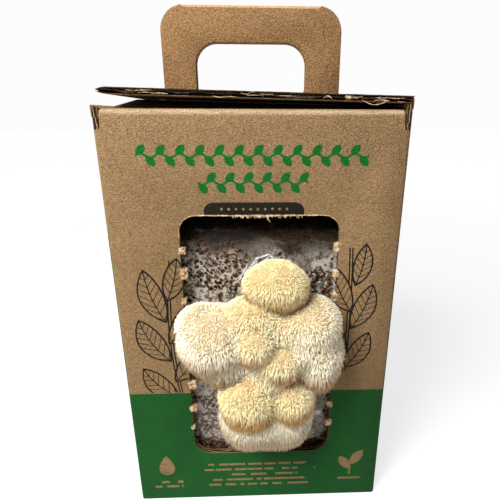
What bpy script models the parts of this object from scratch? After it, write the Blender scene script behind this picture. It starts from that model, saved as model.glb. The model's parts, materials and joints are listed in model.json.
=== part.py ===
"""Lion's mane grow kit: a carton with a handle and a window, a bagged sawdust block and its fruit body.

Metres, +Z up. The origin is the middle of the carton's underside, and the window faces -Y.
"""

import math

import bmesh
import bpy
from mathutils import Vector
from mathutils.bvhtree import BVHTree

# Corrugated board
BOARD = 0.004
GAP = 0.0003

# Carton: outer size, fold lines and the slots between the top flaps
WIDTH = 0.190
DEPTH = 0.140
CREASE_HEIGHT = 0.300
RIGHT_CREASE_HEIGHT = 0.3034
SLOT_FLOOR = 0.2887
TONGUE_SETBACK = 0.0007
CORNER_RADIUS = 0.0025
CREASE_RADIUS = 0.0018
INNER_BOTTOM_FLAP = 0.070
BOTTOM_SEAM_Y = 0.002

# Window in the front wall, with the nibs left by its torn perforation
WINDOW_LEFT = -0.0492
WINDOW_RIGHT = 0.0545
WINDOW_FLOOR = 0.0454
WINDOW_TOP = 0.236
WINDOW_TOP_RADIUS = 0.011
WINDOW_FLOOR_RADIUS = 0.014
NIB_ROOT = 0.0015
NIB_INSET = 0.0002
LEFT_NIBS = (  # height of the middle, height, reach into the window
    (0.2125, 0.0050, 0.0033),
    (0.1965, 0.0085, 0.0040),
    (0.1760, 0.0060, 0.0020),
    (0.1085, 0.0070, 0.0046),
    (0.0880, 0.0058, 0.0036),
    (0.0710, 0.0040, 0.0014),
)
RIGHT_NIBS = (
    (0.2140, 0.0060, 0.0033),
    (0.1950, 0.0058, 0.0030),
    (0.1780, 0.0060, 0.0029),
    (0.0895, 0.0068, 0.0025),
    (0.0725, 0.0068, 0.0033),
)

# Lid: the right flap, folded over the whole top and resting with its free end raised
LID_LENGTH = 0.186
LID_FREE_END_RISE = 0.0043
LID_HINGE_LIFT = 0.00015
LID_CORNER_RADIUS = 0.002
SLOT_NEAR_END = 0.0315
SLOT_FAR_END = 0.1702
SLOT_WIDTH = 0.0124
SLOT_RADIUS = 0.003

# Left flap: tucked in first, so it slopes down into the carton
LEFT_WALL_TOP = 0.2952
LEFT_FLAP_CREST = 0.3021
LEFT_FLAP_SLOPE = math.radians(25)
LEFT_FLAP_REACH = 0.0565

# Front and back flaps: they rise from their creases to the foot of the handle
FLAP_LEFT = -0.086
FLAP_RIGHT = 0.088
FLAP_START_LIFT = 0.0004

# Handle: two plies of one sheet, folded over at the top
HANDLE_LEFT = -0.0657
HANDLE_RIGHT = 0.0615
HANDLE_FOOT = 0.3006
HANDLE_TOP = 0.369
HANDLE_RADIUS = 0.017
PLY_GAP = 0.0004
GRIP_LEFT = -0.0423
GRIP_RIGHT = 0.0365
GRIP_FLOOR = 0.3115
GRIP_TOP = 0.3455
GRIP_TOP_RADIUS = 0.015
GRIP_FLOOR_RADIUS = 0.004

# Sawdust block and the film bag round it
BLOCK_HALF_WIDTH = 0.084
BLOCK_FRONT = -0.0626
BLOCK_BACK = 0.058
BLOCK_TOP = 0.232
BLOCK_RADIUS = 0.016
FILM = 0.0005
CUT_CENTRE = (0.003, 0.143)
CUT_HALF_WIDTH = 0.021
CUT_HALF_HEIGHT = 0.028
FOLDED_NECK_WIDTH = 0.140
FOLDED_NECK_DEPTH = 0.042
FOLDED_NECK_HEIGHT = 0.008

# Fruit body: middle and half size of each lobe, measured from the carton's front face
LOBES = {
    "crown": ((0.0128, -0.0165, 0.1920), (0.0198, 0.0180, 0.0152)),
    "left": ((-0.0275, -0.0195, 0.1590), (0.0230, 0.0225, 0.0220)),
    "left_low": ((-0.0250, -0.0180, 0.1430), (0.0195, 0.0190, 0.0165)),
    "shoulder": ((-0.0010, -0.0180, 0.1750), (0.0170, 0.0160, 0.0120)),
    "middle": ((-0.0010, -0.0310, 0.1600), (0.0125, 0.0130, 0.0125)),
    "right_top": ((0.0350, -0.0170, 0.1680), (0.0192, 0.0200, 0.0175)),
    "right_low": ((0.0385, -0.0190, 0.1450), (0.0180, 0.0205, 0.0240)),
    "middle_right": ((0.0150, -0.0310, 0.1455), (0.0115, 0.0125, 0.0105)),
    "low_ball": ((-0.0055, -0.0290, 0.1160), (0.0172, 0.0175, 0.0160)),
    "low_right": ((0.0245, -0.0265, 0.1135), (0.0135, 0.0135, 0.0125)),
    "skirt": ((0.0060, -0.0180, 0.0990), (0.0300, 0.0190, 0.0235)),
    "heart": ((0.0030, -0.0120, 0.1400), (0.0280, 0.0170, 0.0420)),
    "root": ((0.0030, -0.0040, 0.1430), (0.0200, 0.0160, 0.0270)),
}
LOBE_SEGMENTS = 24
LOBE_RINGS = 16
SKIN_VOXEL = 0.0047
SPINE_LENGTH = 0.0062
SPINE_DROOP = 0.72
SPINE_CLEARANCE = 0.4
SPINE_BACK_LIMIT = 0.0040

# Values that follow from the sizes above
HALF_WIDTH = WIDTH / 2
HALF_DEPTH = DEPTH / 2
INNER_X = HALF_WIDTH - BOARD
INNER_Y = HALF_DEPTH - BOARD
LAYER = BOARD + GAP
FLOOR_TOP = 2 * LAYER
LID_TILT = math.atan2(LID_FREE_END_RISE, LID_LENGTH)
HINGE_Z = RIGHT_CREASE_HEIGHT + LID_HINGE_LIFT
HANDLE_HALF_THICKNESS = BOARD + PLY_GAP / 2
FILM_OUTSIDE = GAP + FILM
PAST = 0.002


def clear_scene():
    for thing in list(bpy.data.objects):
        bpy.data.objects.remove(thing)


def material(name, colour, roughness, alpha=1.0):
    made = bpy.data.materials.new(name)
    made.use_nodes = True
    made.diffuse_color = (*colour, alpha)
    shader = made.node_tree.nodes["Principled BSDF"]
    shader.inputs["Base Color"].default_value = (*colour, 1.0)
    shader.inputs["Roughness"].default_value = roughness
    shader.inputs["Metallic"].default_value = 0.0
    shader.inputs["Alpha"].default_value = alpha
    return made


def arc(centre, radius, start_deg, end_deg, steps=5):
    """Points along an arc, both ends included."""
    points = []
    for step in range(steps + 1):
        angle = math.radians(start_deg + (end_deg - start_deg) * step / steps)
        points.append((centre[0] + radius * math.cos(angle), centre[1] + radius * math.sin(angle)))
    return points


def rounded_rectangle(left, right, floor, top, floor_radius, top_radius):
    """Outline of a rectangle whose lower and upper corners have their own radius, anticlockwise."""
    outline = []
    outline += arc((left + floor_radius, floor + floor_radius), floor_radius, 180, 270)
    outline += arc((right - floor_radius, floor + floor_radius), floor_radius, 270, 360)
    outline += arc((right - top_radius, top - top_radius), top_radius, 0, 90)
    outline += arc((left + top_radius, top - top_radius), top_radius, 90, 180)
    return outline


def placed(a, b, along, plane):
    """A point of an outline in the plane XZ, YZ or XY, and its distance along the third axis."""
    if plane == "XZ":
        return (a, along, b)
    if plane == "YZ":
        return (along, a, b)
    return (a, b, along)


def prism_mesh(outline, plane, start, end):
    """A closed bmesh: an outline drawn in one plane and run along the third axis from start to end."""
    mesh = bmesh.new()
    near = [mesh.verts.new(placed(a, b, start, plane)) for a, b in outline]
    far = [mesh.verts.new(placed(a, b, end, plane)) for a, b in outline]
    mesh.faces.new(near)
    mesh.faces.new(list(reversed(far)))
    for index in range(len(outline)):
        following = (index + 1) % len(outline)
        mesh.faces.new((near[index], far[index], far[following], near[following]))
    bmesh.ops.recalc_face_normals(mesh, faces=mesh.faces)
    return mesh


def box_mesh(low, high):
    """A closed bmesh: a box between two opposite corners."""
    outline = [(low[0], low[1]), (high[0], low[1]), (high[0], high[1]), (low[0], high[1])]
    return prism_mesh(outline, "XY", low[2], high[2])


def round_edges(mesh, chosen, radius, segments):
    """Rounds each edge whose two ends pass the test."""
    edges = [edge for edge in mesh.edges if all(chosen(vert.co) for vert in edge.verts)]
    bmesh.ops.bevel(
        mesh, geom=edges, offset=radius, offset_type="OFFSET", segments=segments, profile=0.5, affect="EDGES"
    )


def piece(name, mesh, finish):
    """Turns a bmesh into a named object with its own material, shaded smooth up to 40 degrees."""
    data = bpy.data.meshes.new(name)
    mesh.to_mesh(data)
    mesh.free()
    data.materials.append(finish)
    data.shade_smooth()
    data.set_sharp_from_angle(angle=math.radians(40))
    made = bpy.data.objects.new(name, data)
    bpy.context.scene.collection.objects.link(made)
    return made


def guide(name, mesh):
    """A shape that only cuts or joins another piece."""
    data = bpy.data.meshes.new(name)
    mesh.to_mesh(data)
    mesh.free()
    made = bpy.data.objects.new(name, data)
    made.hide_render = True
    made.display_type = "WIRE"
    bpy.context.scene.collection.objects.link(made)
    return made


def combine(target, tool, operation="DIFFERENCE"):
    step = target.modifiers.new(tool.name, "BOOLEAN")
    step.operation = operation
    step.solver = "EXACT"
    step.object = tool


def wall_outline(floor):
    """Front or back wall: full width up to the corner slots, then narrower by the board on each side."""
    narrow = INNER_X
    corner = CORNER_RADIUS
    outline = [(-HALF_WIDTH, floor), (HALF_WIDTH, floor), (HALF_WIDTH, SLOT_FLOOR), (narrow, SLOT_FLOOR)]
    outline += arc((narrow - corner, CREASE_HEIGHT - corner), corner, 0, 90)
    outline += arc((corner - narrow, CREASE_HEIGHT - corner), corner, 90, 180)
    outline += [(-narrow, SLOT_FLOOR), (-HALF_WIDTH, SLOT_FLOOR)]
    return outline


def build_wall(name, face_y, inside_y, finish):
    """Front or back wall, its outer corners and its top crease rounded as folded board is."""
    mesh = prism_mesh(wall_outline(LAYER), "XZ", face_y, inside_y)

    def on_corner(point):
        return abs(point.y - face_y) < GAP and abs(abs(point.x) - HALF_WIDTH) < GAP

    def on_crease(point):
        return abs(point.y - face_y) < GAP and point.z > SLOT_FLOOR + GAP and abs(point.x) < INNER_X + GAP

    round_edges(mesh, on_corner, CORNER_RADIUS, 3)
    round_edges(mesh, on_crease, CREASE_RADIUS, 2)
    return piece(name, mesh, finish)


def build_nibs():
    """The stubs of board that the torn perforation leaves in the window."""
    nibs = bmesh.new()
    for edge_x, inward, rows in ((WINDOW_LEFT, 1, LEFT_NIBS), (WINDOW_RIGHT, -1, RIGHT_NIBS)):
        for middle, height, reach in rows:
            half = height / 2
            root_x = edge_x - inward * NIB_ROOT
            tip_x = edge_x + inward * reach
            outline = [
                (root_x, middle - half),
                (tip_x, middle - half * 0.8),
                (tip_x, middle + half * 0.6),
                (root_x, middle + half),
            ]
            single = prism_mesh(outline, "XZ", -HALF_DEPTH + NIB_INSET, -INNER_Y - NIB_INSET)
            data = bpy.data.meshes.new("nib")
            single.to_mesh(data)
            single.free()
            nibs.from_mesh(data)
            bpy.data.meshes.remove(data)
    return guide("window_nibs", nibs)


def build_front_wall(finish):
    wall = build_wall("front_wall", -HALF_DEPTH, -INNER_Y, finish)
    outline = rounded_rectangle(
        WINDOW_LEFT, WINDOW_RIGHT, WINDOW_FLOOR, WINDOW_TOP, WINDOW_FLOOR_RADIUS, WINDOW_TOP_RADIUS
    )
    window = guide("window_opening", prism_mesh(outline, "XZ", -HALF_DEPTH - PAST, -INNER_Y + PAST))
    combine(wall, window)
    combine(wall, build_nibs(), "UNION")


def build_side_wall(name, side, top, finish):
    """A side wall: it stands between the front and back walls, with tongues in the corner slots."""
    inner = INNER_Y - GAP
    tongue = HALF_DEPTH - TONGUE_SETBACK
    step = SLOT_FLOOR + GAP
    outline = [
        (-inner, LAYER), (inner, LAYER), (inner, step), (tongue, step),
        (tongue, top), (-tongue, top), (-tongue, step), (-inner, step),
    ]
    return piece(name, prism_mesh(outline, "YZ", side * HALF_WIDTH, side * INNER_X), finish)


def build_bottom(finish):
    """Bottom flaps: two inner ones from the sides, then two outer ones that meet near the middle."""
    outer_x = HALF_WIDTH - GAP
    outer_y = HALF_DEPTH - GAP
    runs = {
        "bottom_front_flap": (-outer_y, BOTTOM_SEAM_Y - GAP),
        "bottom_back_flap": (BOTTOM_SEAM_Y + GAP, outer_y),
    }
    for name, (start, end) in runs.items():
        mesh = box_mesh((-outer_x, start, 0.0), (outer_x, end, BOARD))
        piece(name, mesh, finish)
    inner_x = INNER_X - GAP
    inner_y = INNER_Y - 2 * GAP
    inner_end = HALF_WIDTH - INNER_BOTTOM_FLAP
    for name, start, end in (
        ("bottom_left_flap", -inner_x, -inner_end), ("bottom_right_flap", inner_end, inner_x)
    ):
        piece(name, box_mesh((start, -inner_y, LAYER), (end, inner_y, LAYER + BOARD)), finish)


def lid_underside(x):
    """Height of the closed lid's underside above a place across the carton."""
    return HINGE_Z + LID_HINGE_LIFT + (HALF_WIDTH - x) * math.tan(LID_TILT)


def riser_mesh(side, grow=0.0):
    """Front (side -1) or back (side 1) flap: level at its crease and just under the lid at the handle."""
    outer_y = side * (INNER_Y - GAP + grow)
    inner_y = side * (HANDLE_HALF_THICKNESS + GAP - grow)
    crease_top = CREASE_HEIGHT + FLAP_START_LIFT
    mesh = bmesh.new()
    corners = []
    for x in (FLAP_LEFT - grow, FLAP_RIGHT + grow):
        for y, top in ((outer_y, crease_top), (inner_y, lid_underside(x) - 1.5 * GAP)):
            corners.append(mesh.verts.new((x, y, top - BOARD - grow)))
            corners.append(mesh.verts.new((x, y, top + grow)))
    for ring in ((0, 1, 3, 2), (4, 6, 7, 5), (0, 4, 5, 1), (2, 3, 7, 6), (0, 2, 6, 4), (1, 5, 7, 3)):
        mesh.faces.new([corners[index] for index in ring])
    bmesh.ops.recalc_face_normals(mesh, faces=mesh.faces)
    return mesh


def build_left_flap(finish):
    """The flap folded in first: a crest over the left wall, then a slope down into the carton."""
    fall = math.tan(LEFT_FLAP_SLOPE)
    crest_x = -HALF_WIDTH + 0.0005
    end_x = crest_x + LEFT_FLAP_REACH
    end_z = LEFT_FLAP_CREST - LEFT_FLAP_REACH * fall
    drop = BOARD / math.cos(LEFT_FLAP_SLOPE)
    start_z = LEFT_WALL_TOP + GAP
    outline = [
        (-HALF_WIDTH, start_z),
        (-INNER_X, start_z),
        (-INNER_X, LEFT_FLAP_CREST - (crest_x * -1 - INNER_X) * fall - drop),
        (end_x - BOARD * math.sin(LEFT_FLAP_SLOPE), end_z - BOARD * math.cos(LEFT_FLAP_SLOPE)),
        (end_x, end_z),
        (crest_x, LEFT_FLAP_CREST),
        (-HALF_WIDTH - 0.0002, LEFT_FLAP_CREST - 0.0008),
    ]
    reach_y = HALF_DEPTH - TONGUE_SETBACK
    flap = piece("left_top_flap", prism_mesh(outline, "XZ", -reach_y, reach_y), finish)
    for side in (-1, 1):
        edge_y = INNER_Y - GAP
        low = (-INNER_X - GAP, min(side * edge_y, side * DEPTH), end_z - 2 * BOARD)
        high = (0.0, max(side * edge_y, side * DEPTH), CREASE_HEIGHT + 2 * PAST)
        label = "front" if side < 0 else "back"
        combine(flap, guide(f"room_for_{label}_wall", box_mesh(low, high)))
        combine(flap, guide(f"room_for_{label}_flap", riser_mesh(side, GAP)))


def build_handle(finish):
    outline = rounded_rectangle(
        HANDLE_LEFT, HANDLE_RIGHT, HANDLE_FOOT, HANDLE_TOP, CREASE_RADIUS, HANDLE_RADIUS
    )
    half = HANDLE_HALF_THICKNESS
    handle = piece("handle", prism_mesh(outline, "XZ", -half, half), finish)
    grip = rounded_rectangle(
        GRIP_LEFT, GRIP_RIGHT, GRIP_FLOOR, GRIP_TOP, GRIP_FLOOR_RADIUS, GRIP_TOP_RADIUS
    )
    combine(handle, guide("finger_opening", prism_mesh(grip, "XZ", -half - PAST, half + PAST)))
    between = box_mesh(
        (HANDLE_LEFT - PAST, -PLY_GAP / 2, HANDLE_FOOT - PAST),
        (HANDLE_RIGHT + PAST, PLY_GAP / 2, HANDLE_TOP - BOARD),
    )
    combine(handle, guide("space_between_plies", between))


def build_lid(finish):
    """The lid is drawn from its hinge line: it runs towards -X, and its rest pose is a slight tilt."""
    reach_y = HALF_DEPTH - GAP
    low = (-LID_LENGTH - GAP, -reach_y, LID_HINGE_LIFT)
    high = (-GAP, reach_y, LID_HINGE_LIFT + BOARD)
    mesh = box_mesh(low, high)
    round_edges(mesh, lambda point: point.x > high[0] - GAP and point.z > BOARD, CORNER_RADIUS, 3)

    def on_free_corner(point):
        return point.x < low[0] + GAP

    corners = [
        edge for edge in mesh.edges
        if all(on_free_corner(vert.co) for vert in edge.verts)
        and abs(edge.verts[0].co.z - edge.verts[1].co.z) > BOARD / 2
    ]
    bmesh.ops.bevel(mesh, geom=corners, offset=LID_CORNER_RADIUS, segments=2, profile=0.5, affect="EDGES")
    lid = piece("lid_flap", mesh, finish)
    slot = rounded_rectangle(
        -SLOT_FAR_END, -SLOT_NEAR_END, -SLOT_WIDTH / 2, SLOT_WIDTH / 2, SLOT_RADIUS, SLOT_RADIUS
    )
    cutter = guide("handle_slot", prism_mesh(slot, "XY", -PAST, BOARD + PAST))
    for thing in (lid, cutter):
        thing.location = (HALF_WIDTH, 0.0, HINGE_Z)
        thing.rotation_euler = (0.0, LID_TILT, 0.0)
    combine(lid, cutter)


def block_mesh(grow):
    """The sawdust block's rounded shape, larger all round by the given amount."""
    low = (-BLOCK_HALF_WIDTH - grow, BLOCK_FRONT - grow, FLOOR_TOP + GAP + FILM_OUTSIDE - grow)
    high = (BLOCK_HALF_WIDTH + grow, BLOCK_BACK + grow, BLOCK_TOP + grow)
    mesh = box_mesh(low, high)
    round_edges(mesh, lambda point: True, BLOCK_RADIUS + grow, 4)
    return mesh


def build_block(finish):
    piece("substrate_block", block_mesh(0.0), finish)


def build_bag(finish):
    """Clear film round the block, cut open where the fruit body grows out, its neck folded flat on top."""
    bag = piece("grow_bag", block_mesh(FILM_OUTSIDE), finish)
    neck_floor = BLOCK_TOP + FILM_OUTSIDE - FILM / 2
    half = FOLDED_NECK_WIDTH / 2
    neck = box_mesh(
        (-half, -FOLDED_NECK_DEPTH, neck_floor), (half, 0.0, neck_floor + FOLDED_NECK_HEIGHT)
    )
    round_edges(neck, lambda point: point.z > neck_floor + GAP, FOLDED_NECK_HEIGHT * 0.4, 2)
    combine(bag, guide("folded_neck", neck), "UNION")
    combine(bag, guide("inside_of_bag", block_mesh(GAP)))
    cut = []
    for step in range(24):
        angle = math.tau * step / 24
        cut.append(
            (CUT_CENTRE[0] + CUT_HALF_WIDTH * math.cos(angle), CUT_CENTRE[1] + CUT_HALF_HEIGHT * math.sin(angle))
        )
    cutter = prism_mesh(cut, "XZ", BLOCK_FRONT - FILM_OUTSIDE - PAST, BLOCK_FRONT + PAST)
    combine(bag, guide("cut_in_film", cutter))


def lobe_cluster():
    """All lobes as overlapping ellipsoids, in one mesh."""
    cluster = bmesh.new()
    for (x, y, z), (half_x, half_y, half_z) in LOBES.values():
        ball = bmesh.new()
        bmesh.ops.create_uvsphere(ball, u_segments=LOBE_SEGMENTS, v_segments=LOBE_RINGS, radius=1.0)
        bmesh.ops.scale(ball, verts=ball.verts, vec=(half_x, half_y, half_z))
        bmesh.ops.translate(ball, verts=ball.verts, vec=(x, y - HALF_DEPTH, z))
        data = bpy.data.meshes.new("lobe")
        ball.to_mesh(data)
        ball.free()
        cluster.from_mesh(data)
        bpy.data.meshes.remove(data)
    return cluster


def one_skin(cluster):
    """One closed skin of even faces over the lobes, flat where it meets the block."""
    source = guide("lobes", cluster)
    skin = source.modifiers.new("skin", "REMESH")
    skin.mode = "VOXEL"
    skin.voxel_size = SKIN_VOXEL
    relax = source.modifiers.new("relax", "SMOOTH")
    relax.factor = 0.5
    relax.iterations = 2
    evaluated = source.evaluated_get(bpy.context.evaluated_depsgraph_get())
    mesh = bmesh.new()
    mesh.from_mesh(evaluated.to_mesh())
    evaluated.to_mesh_clear()
    bpy.data.objects.remove(source)
    back = BLOCK_FRONT - GAP
    for vert in mesh.verts:
        vert.co.y = min(vert.co.y, back)
    mesh.normal_update()
    return mesh


def grow_spines(mesh):
    """Raises each outer face to a drooping spine, shorter where another lobe is near."""
    around = BVHTree.FromBMesh(mesh)
    plans = []
    for face in mesh.faces:
        middle = face.calc_center_median()
        outward = face.normal.copy()
        if middle.y > SPINE_BACK_LIMIT - HALF_DEPTH or outward.y > 0.6:
            continue
        lean = (outward + Vector((0.0, 0.0, -SPINE_DROOP))).normalized()
        reach = SPINE_LENGTH * (0.75 - 0.35 * outward.z)
        hit = around.ray_cast(middle + outward * GAP, lean, 2.5 * SPINE_LENGTH)
        if hit[0] is not None:
            reach = min(reach, hit[3] * SPINE_CLEARANCE)
        plans.append((face, middle + lean * reach))
    for face, tip in plans:
        peak = bmesh.ops.poke(mesh, faces=[face])["verts"][0]
        peak.co = tip
    bmesh.ops.recalc_face_normals(mesh, faces=mesh.faces)


def build_fruit_body(finish):
    mesh = one_skin(lobe_cluster())
    grow_spines(mesh)
    piece("lions_mane", mesh, finish)


def main():
    clear_scene()
    kraft = material("kraft_board", (0.40, 0.26, 0.14), 0.85)
    film = material("clear_film", (0.80, 0.82, 0.82), 0.15, alpha=0.3)
    sawdust = material("grown_through_sawdust", (0.45, 0.42, 0.37), 0.80)
    cream = material("cream_fruit_body", (0.88, 0.80, 0.62), 0.75)
    build_front_wall(kraft)
    build_wall("back_wall", HALF_DEPTH, INNER_Y, kraft)
    build_side_wall("left_wall", -1, LEFT_WALL_TOP, kraft)
    build_side_wall("right_wall", 1, RIGHT_CREASE_HEIGHT, kraft)
    build_bottom(kraft)
    build_left_flap(kraft)
    piece("front_top_flap", riser_mesh(-1), kraft)
    piece("back_top_flap", riser_mesh(1), kraft)
    build_handle(kraft)
    build_lid(kraft)
    build_block(sawdust)
    build_bag(film)
    build_fruit_body(cream)


main()
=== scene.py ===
"""Looks of the lion's mane grow kit: printed kraft carton, film bag, sawdust block and fruit body.

Metres, +Z up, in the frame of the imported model. Each operator below makes one piece or group of like
pieces, and main calls them in order.
"""

import json
import math
import random
from collections import namedtuple
from contextlib import contextmanager
from functools import reduce
from itertools import product

import bmesh
import bpy
import numpy as np
from bpy.props import FloatProperty, FloatVectorProperty, IntProperty, PointerProperty
from mathutils import Matrix, Vector, noise
from mathutils.bvhtree import BVHTree
from mathutils.kdtree import KDTree


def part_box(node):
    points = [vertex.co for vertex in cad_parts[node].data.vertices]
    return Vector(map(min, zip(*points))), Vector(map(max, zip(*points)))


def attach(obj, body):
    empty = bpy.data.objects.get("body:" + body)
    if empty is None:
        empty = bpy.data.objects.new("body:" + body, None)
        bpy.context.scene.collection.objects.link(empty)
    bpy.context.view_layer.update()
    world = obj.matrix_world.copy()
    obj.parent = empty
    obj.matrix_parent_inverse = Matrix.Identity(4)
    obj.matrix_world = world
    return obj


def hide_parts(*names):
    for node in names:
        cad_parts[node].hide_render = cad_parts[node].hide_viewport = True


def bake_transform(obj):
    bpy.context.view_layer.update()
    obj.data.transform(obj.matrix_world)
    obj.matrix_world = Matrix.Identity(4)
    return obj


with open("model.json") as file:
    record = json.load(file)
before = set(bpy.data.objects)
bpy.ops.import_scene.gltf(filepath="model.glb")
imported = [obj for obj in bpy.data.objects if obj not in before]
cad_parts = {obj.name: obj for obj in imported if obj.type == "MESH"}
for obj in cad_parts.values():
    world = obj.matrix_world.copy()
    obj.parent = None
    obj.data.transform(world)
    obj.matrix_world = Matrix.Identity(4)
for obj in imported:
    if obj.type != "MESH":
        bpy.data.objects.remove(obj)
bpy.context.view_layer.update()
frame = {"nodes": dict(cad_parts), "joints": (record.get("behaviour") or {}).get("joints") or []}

bl_info = {
    "name": "Lion's mane grow kit",
    "version": (1, 0, 0),
    "blender": (4, 5, 0),
    "location": "3D View > Sidebar > Grow kit",
    "description": "Builds the printed carton, the film bag, the sawdust block and the fruit body",
    "category": "Add Mesh",
}

MM = 0.001

# How far a cutter stands past what it cuts, a height above everything, and what counts as touching
PAST = 2 * MM
OVERHEAD = 0.4
TOUCH = 0.05 * MM

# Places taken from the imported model
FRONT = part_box("front_wall")[0].y
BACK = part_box("back_wall")[1].y
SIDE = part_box("front_wall")[1].x
FRONT_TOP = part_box("front_wall")[1].z
LEFT_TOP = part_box("left_wall")[1].z
RIGHT_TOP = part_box("right_wall")[1].z
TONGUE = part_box("right_wall")[1].y
WALL_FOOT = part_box("front_wall")[0].z
LID_HINGE = Vector(frame["joints"][0]["pos_m"])

# Window in the front wall
WINDOW_LEFT = -49.2 * MM
WINDOW_RIGHT = 54.5 * MM
WINDOW_FLOOR = 45.4 * MM
WINDOW_TOP = 236 * MM
WINDOW_TOP_RADIUS = 11 * MM
WINDOW_FLOOR_RADIUS = 14 * MM

# How round the carton's upright corners are, and the block's edges
CORNER_RADIUS = 2.5 * MM
BLOCK_ROUNDING = 16 * MM

# Slots between the top flaps, and the fold of the front's upper edge
SLOT_FLOOR = 288.4 * MM
SLOT_WIDTH = 0.6 * MM
CREASE_RADIUS = 1.8 * MM
FOLD_CORNER_RADIUS = 2.5 * MM


def colour_property(name, description, default):
    return FloatVectorProperty(
        name=name, description=description, subtype="COLOR", size=3, min=0.0, max=1.0, default=default
    )


def length_property(name, description, default):
    return FloatProperty(name=name, description=description, unit="LENGTH", min=0.0, default=default)


def strength_property(name, description, default, unit="NONE"):
    return FloatProperty(name=name, description=description, unit=unit, min=0.0, default=default)


class BoardSettings(bpy.types.PropertyGroup):
    """Corrugated board: sizes and colours"""

    thickness: length_property("Thickness", "Thickness of the whole board", 4 * MM)
    liner: length_property("Liner", "Thickness of each flat paper layer", 0.5 * MM)
    flute_pitch: length_property("Flute pitch", "Distance between two waves of the inner paper", 7.7 * MM)
    kraft: colour_property("Kraft", "Outside paper", (0.315, 0.196, 0.091))
    kraft_shade: colour_property("Kraft shade", "Darker fibres of the outside paper", (0.106, 0.063, 0.028))
    torn: colour_property("Torn paper", "Pale fibres along a tear", (0.62, 0.46, 0.29))
    cut: colour_property("Cut edge", "Brown of a cut edge", (0.26, 0.155, 0.07))
    # The cut gap colour is painted shade: the darkness inside the hollows between the waves.
    gap: colour_property("Cut gap", "Dark hollows between the waves", (0.012, 0.008, 0.005))


class PrintSettings(bpy.types.PropertyGroup):
    """Printed inks"""

    green: colour_property("Green", "Green of the lower band", (0.003, 0.092, 0.009))
    green_shade: colour_property("Green shade", "Green where the ink is thin", (0.005, 0.076, 0.010))
    ornament: colour_property("Ornament green", "Green of the leaf garlands", (0.003, 0.105, 0.013))
    black: colour_property("Black", "Black of the leaf drawings", (0.008, 0.007, 0.006))
    charcoal: colour_property("Charcoal", "Dark tab above the window", (0.012, 0.009, 0.006))
    band_top: length_property("Band top", "Height of the green band on the front and back", 102 * MM)
    side_band_top: length_property("Side band top", "Height of the green on the sides", 223 * MM)


class BlockSettings(bpy.types.PropertyGroup):
    """Grown-through sawdust and its film"""

    mycelium: colour_property("Mycelium", "White threads that bind the sawdust", (0.61, 0.535, 0.455))
    # The damp colour is also the block's painted shade, and the dark grains' colour part of its painted
    # shadow.
    damp_and_shade: colour_property("Damp mycelium", "Greyer, thinner mycelium", (0.075, 0.061, 0.045))
    sawdust: colour_property("Sawdust", "Brown grains", (0.095, 0.037, 0.010))
    char: colour_property("Dark grains", "Nearly black grains", (0.006, 0.004, 0.002))
    grain: length_property("Grain size", "Usual width of a grain", 2.5 * MM)
    film: length_property("Film", "Thickness that the film is drawn at", 0.12 * MM)


class FruitSettings(bpy.types.PropertyGroup):
    """Fruit body: colours and teeth"""

    cream: colour_property("Cream", "Tips of the older, paler lobes", (0.985, 0.93, 0.78))
    golden: colour_property("Golden", "Tips of the younger, yellower lobes", (0.965, 0.835, 0.465))
    root: colour_property("Root", "Foot of the teeth", (0.63, 0.44, 0.21))
    spacing: length_property("Spacing", "Least distance between two teeth", 0.54 * MM)
    tooth: length_property("Tooth length", "Length of a tooth on an upright face", 3.7 * MM)
    width: length_property("Tooth width", "Width of a tooth at its foot", 0.50 * MM)
    tuft: length_property("Tuft", "Least distance between the middles of two tufts of teeth", 1.0 * MM)
    seed: IntProperty(name="Seed", description="Seed of the teeth's places", min=0, default=7)


class StageSettings(bpy.types.PropertyGroup):
    """Floor, light and camera"""

    floor: colour_property("Floor", "Pale studio floor", (0.30, 0.30, 0.30))
    key: strength_property("Key light", "Power of the soft key light", 18.5, "POWER")
    fill: strength_property("Fill light", "Power of the fill light", 0.15, "POWER")
    sky: strength_property("Sky", "Strength of the even light all round", 0.16)
    wall: strength_property("Wall", "Brightness of the wall behind", 0.98)
    glow: strength_property("Glow", "Light that the floor itself gives off", 0.76)


SETTINGS = {
    "kit_board": BoardSettings, "kit_print": PrintSettings, "kit_block": BlockSettings,
    "kit_fruit": FruitSettings, "kit_stage": StageSettings,
}


def arithmetic(operation, swapped=False):
    """A method of Wire that adds one Math node. Swapped puts the wire itself last."""

    def method(wire, *others):
        return wire.math(operation, *((*others, wire) if swapped else (wire, *others)))

    return method


class Wire:
    """An output socket. Arithmetic on it adds Math nodes."""

    def __init__(self, nodes, socket):
        self.nodes = nodes
        self.socket = socket

    def math(self, operation, *values):
        return self.nodes.add("ShaderNodeMath", {"operation": operation}, dict(enumerate(values)))

    __add__ = arithmetic("ADD")
    __radd__ = arithmetic("ADD", swapped=True)
    __sub__ = arithmetic("SUBTRACT")
    __rsub__ = arithmetic("SUBTRACT", swapped=True)
    __mul__ = arithmetic("MULTIPLY")
    __rmul__ = arithmetic("MULTIPLY", swapped=True)
    __truediv__ = arithmetic("DIVIDE")
    __pow__ = arithmetic("POWER")
    __lt__ = arithmetic("LESS_THAN")
    __gt__ = arithmetic("GREATER_THAN")
    __abs__ = arithmetic("ABSOLUTE")
    fraction = arithmetic("FRACT")
    sine = arithmetic("SINE")
    lower = arithmetic("MINIMUM")
    higher = arithmetic("MAXIMUM")

    def other(self, output):
        """Another output of the same node."""
        return Wire(self.nodes, self.socket.node.outputs[output])

    def red(self):
        """The first part of a colour."""
        return self.nodes.add("ShaderNodeSeparateColor", sockets={0: self})

    def step(self, low, high):
        """0 below low, 1 above high, smooth between. With high below low it falls instead."""
        settings = {"interpolation_type": "SMOOTHSTEP"}
        return self.nodes.add("ShaderNodeMapRange", settings, {0: self, 1: low, 2: high, 3: 0.0, 4: 1.0})


def highest(wires):
    """The highest of several values at each place."""
    return reduce(Wire.higher, wires)


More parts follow.
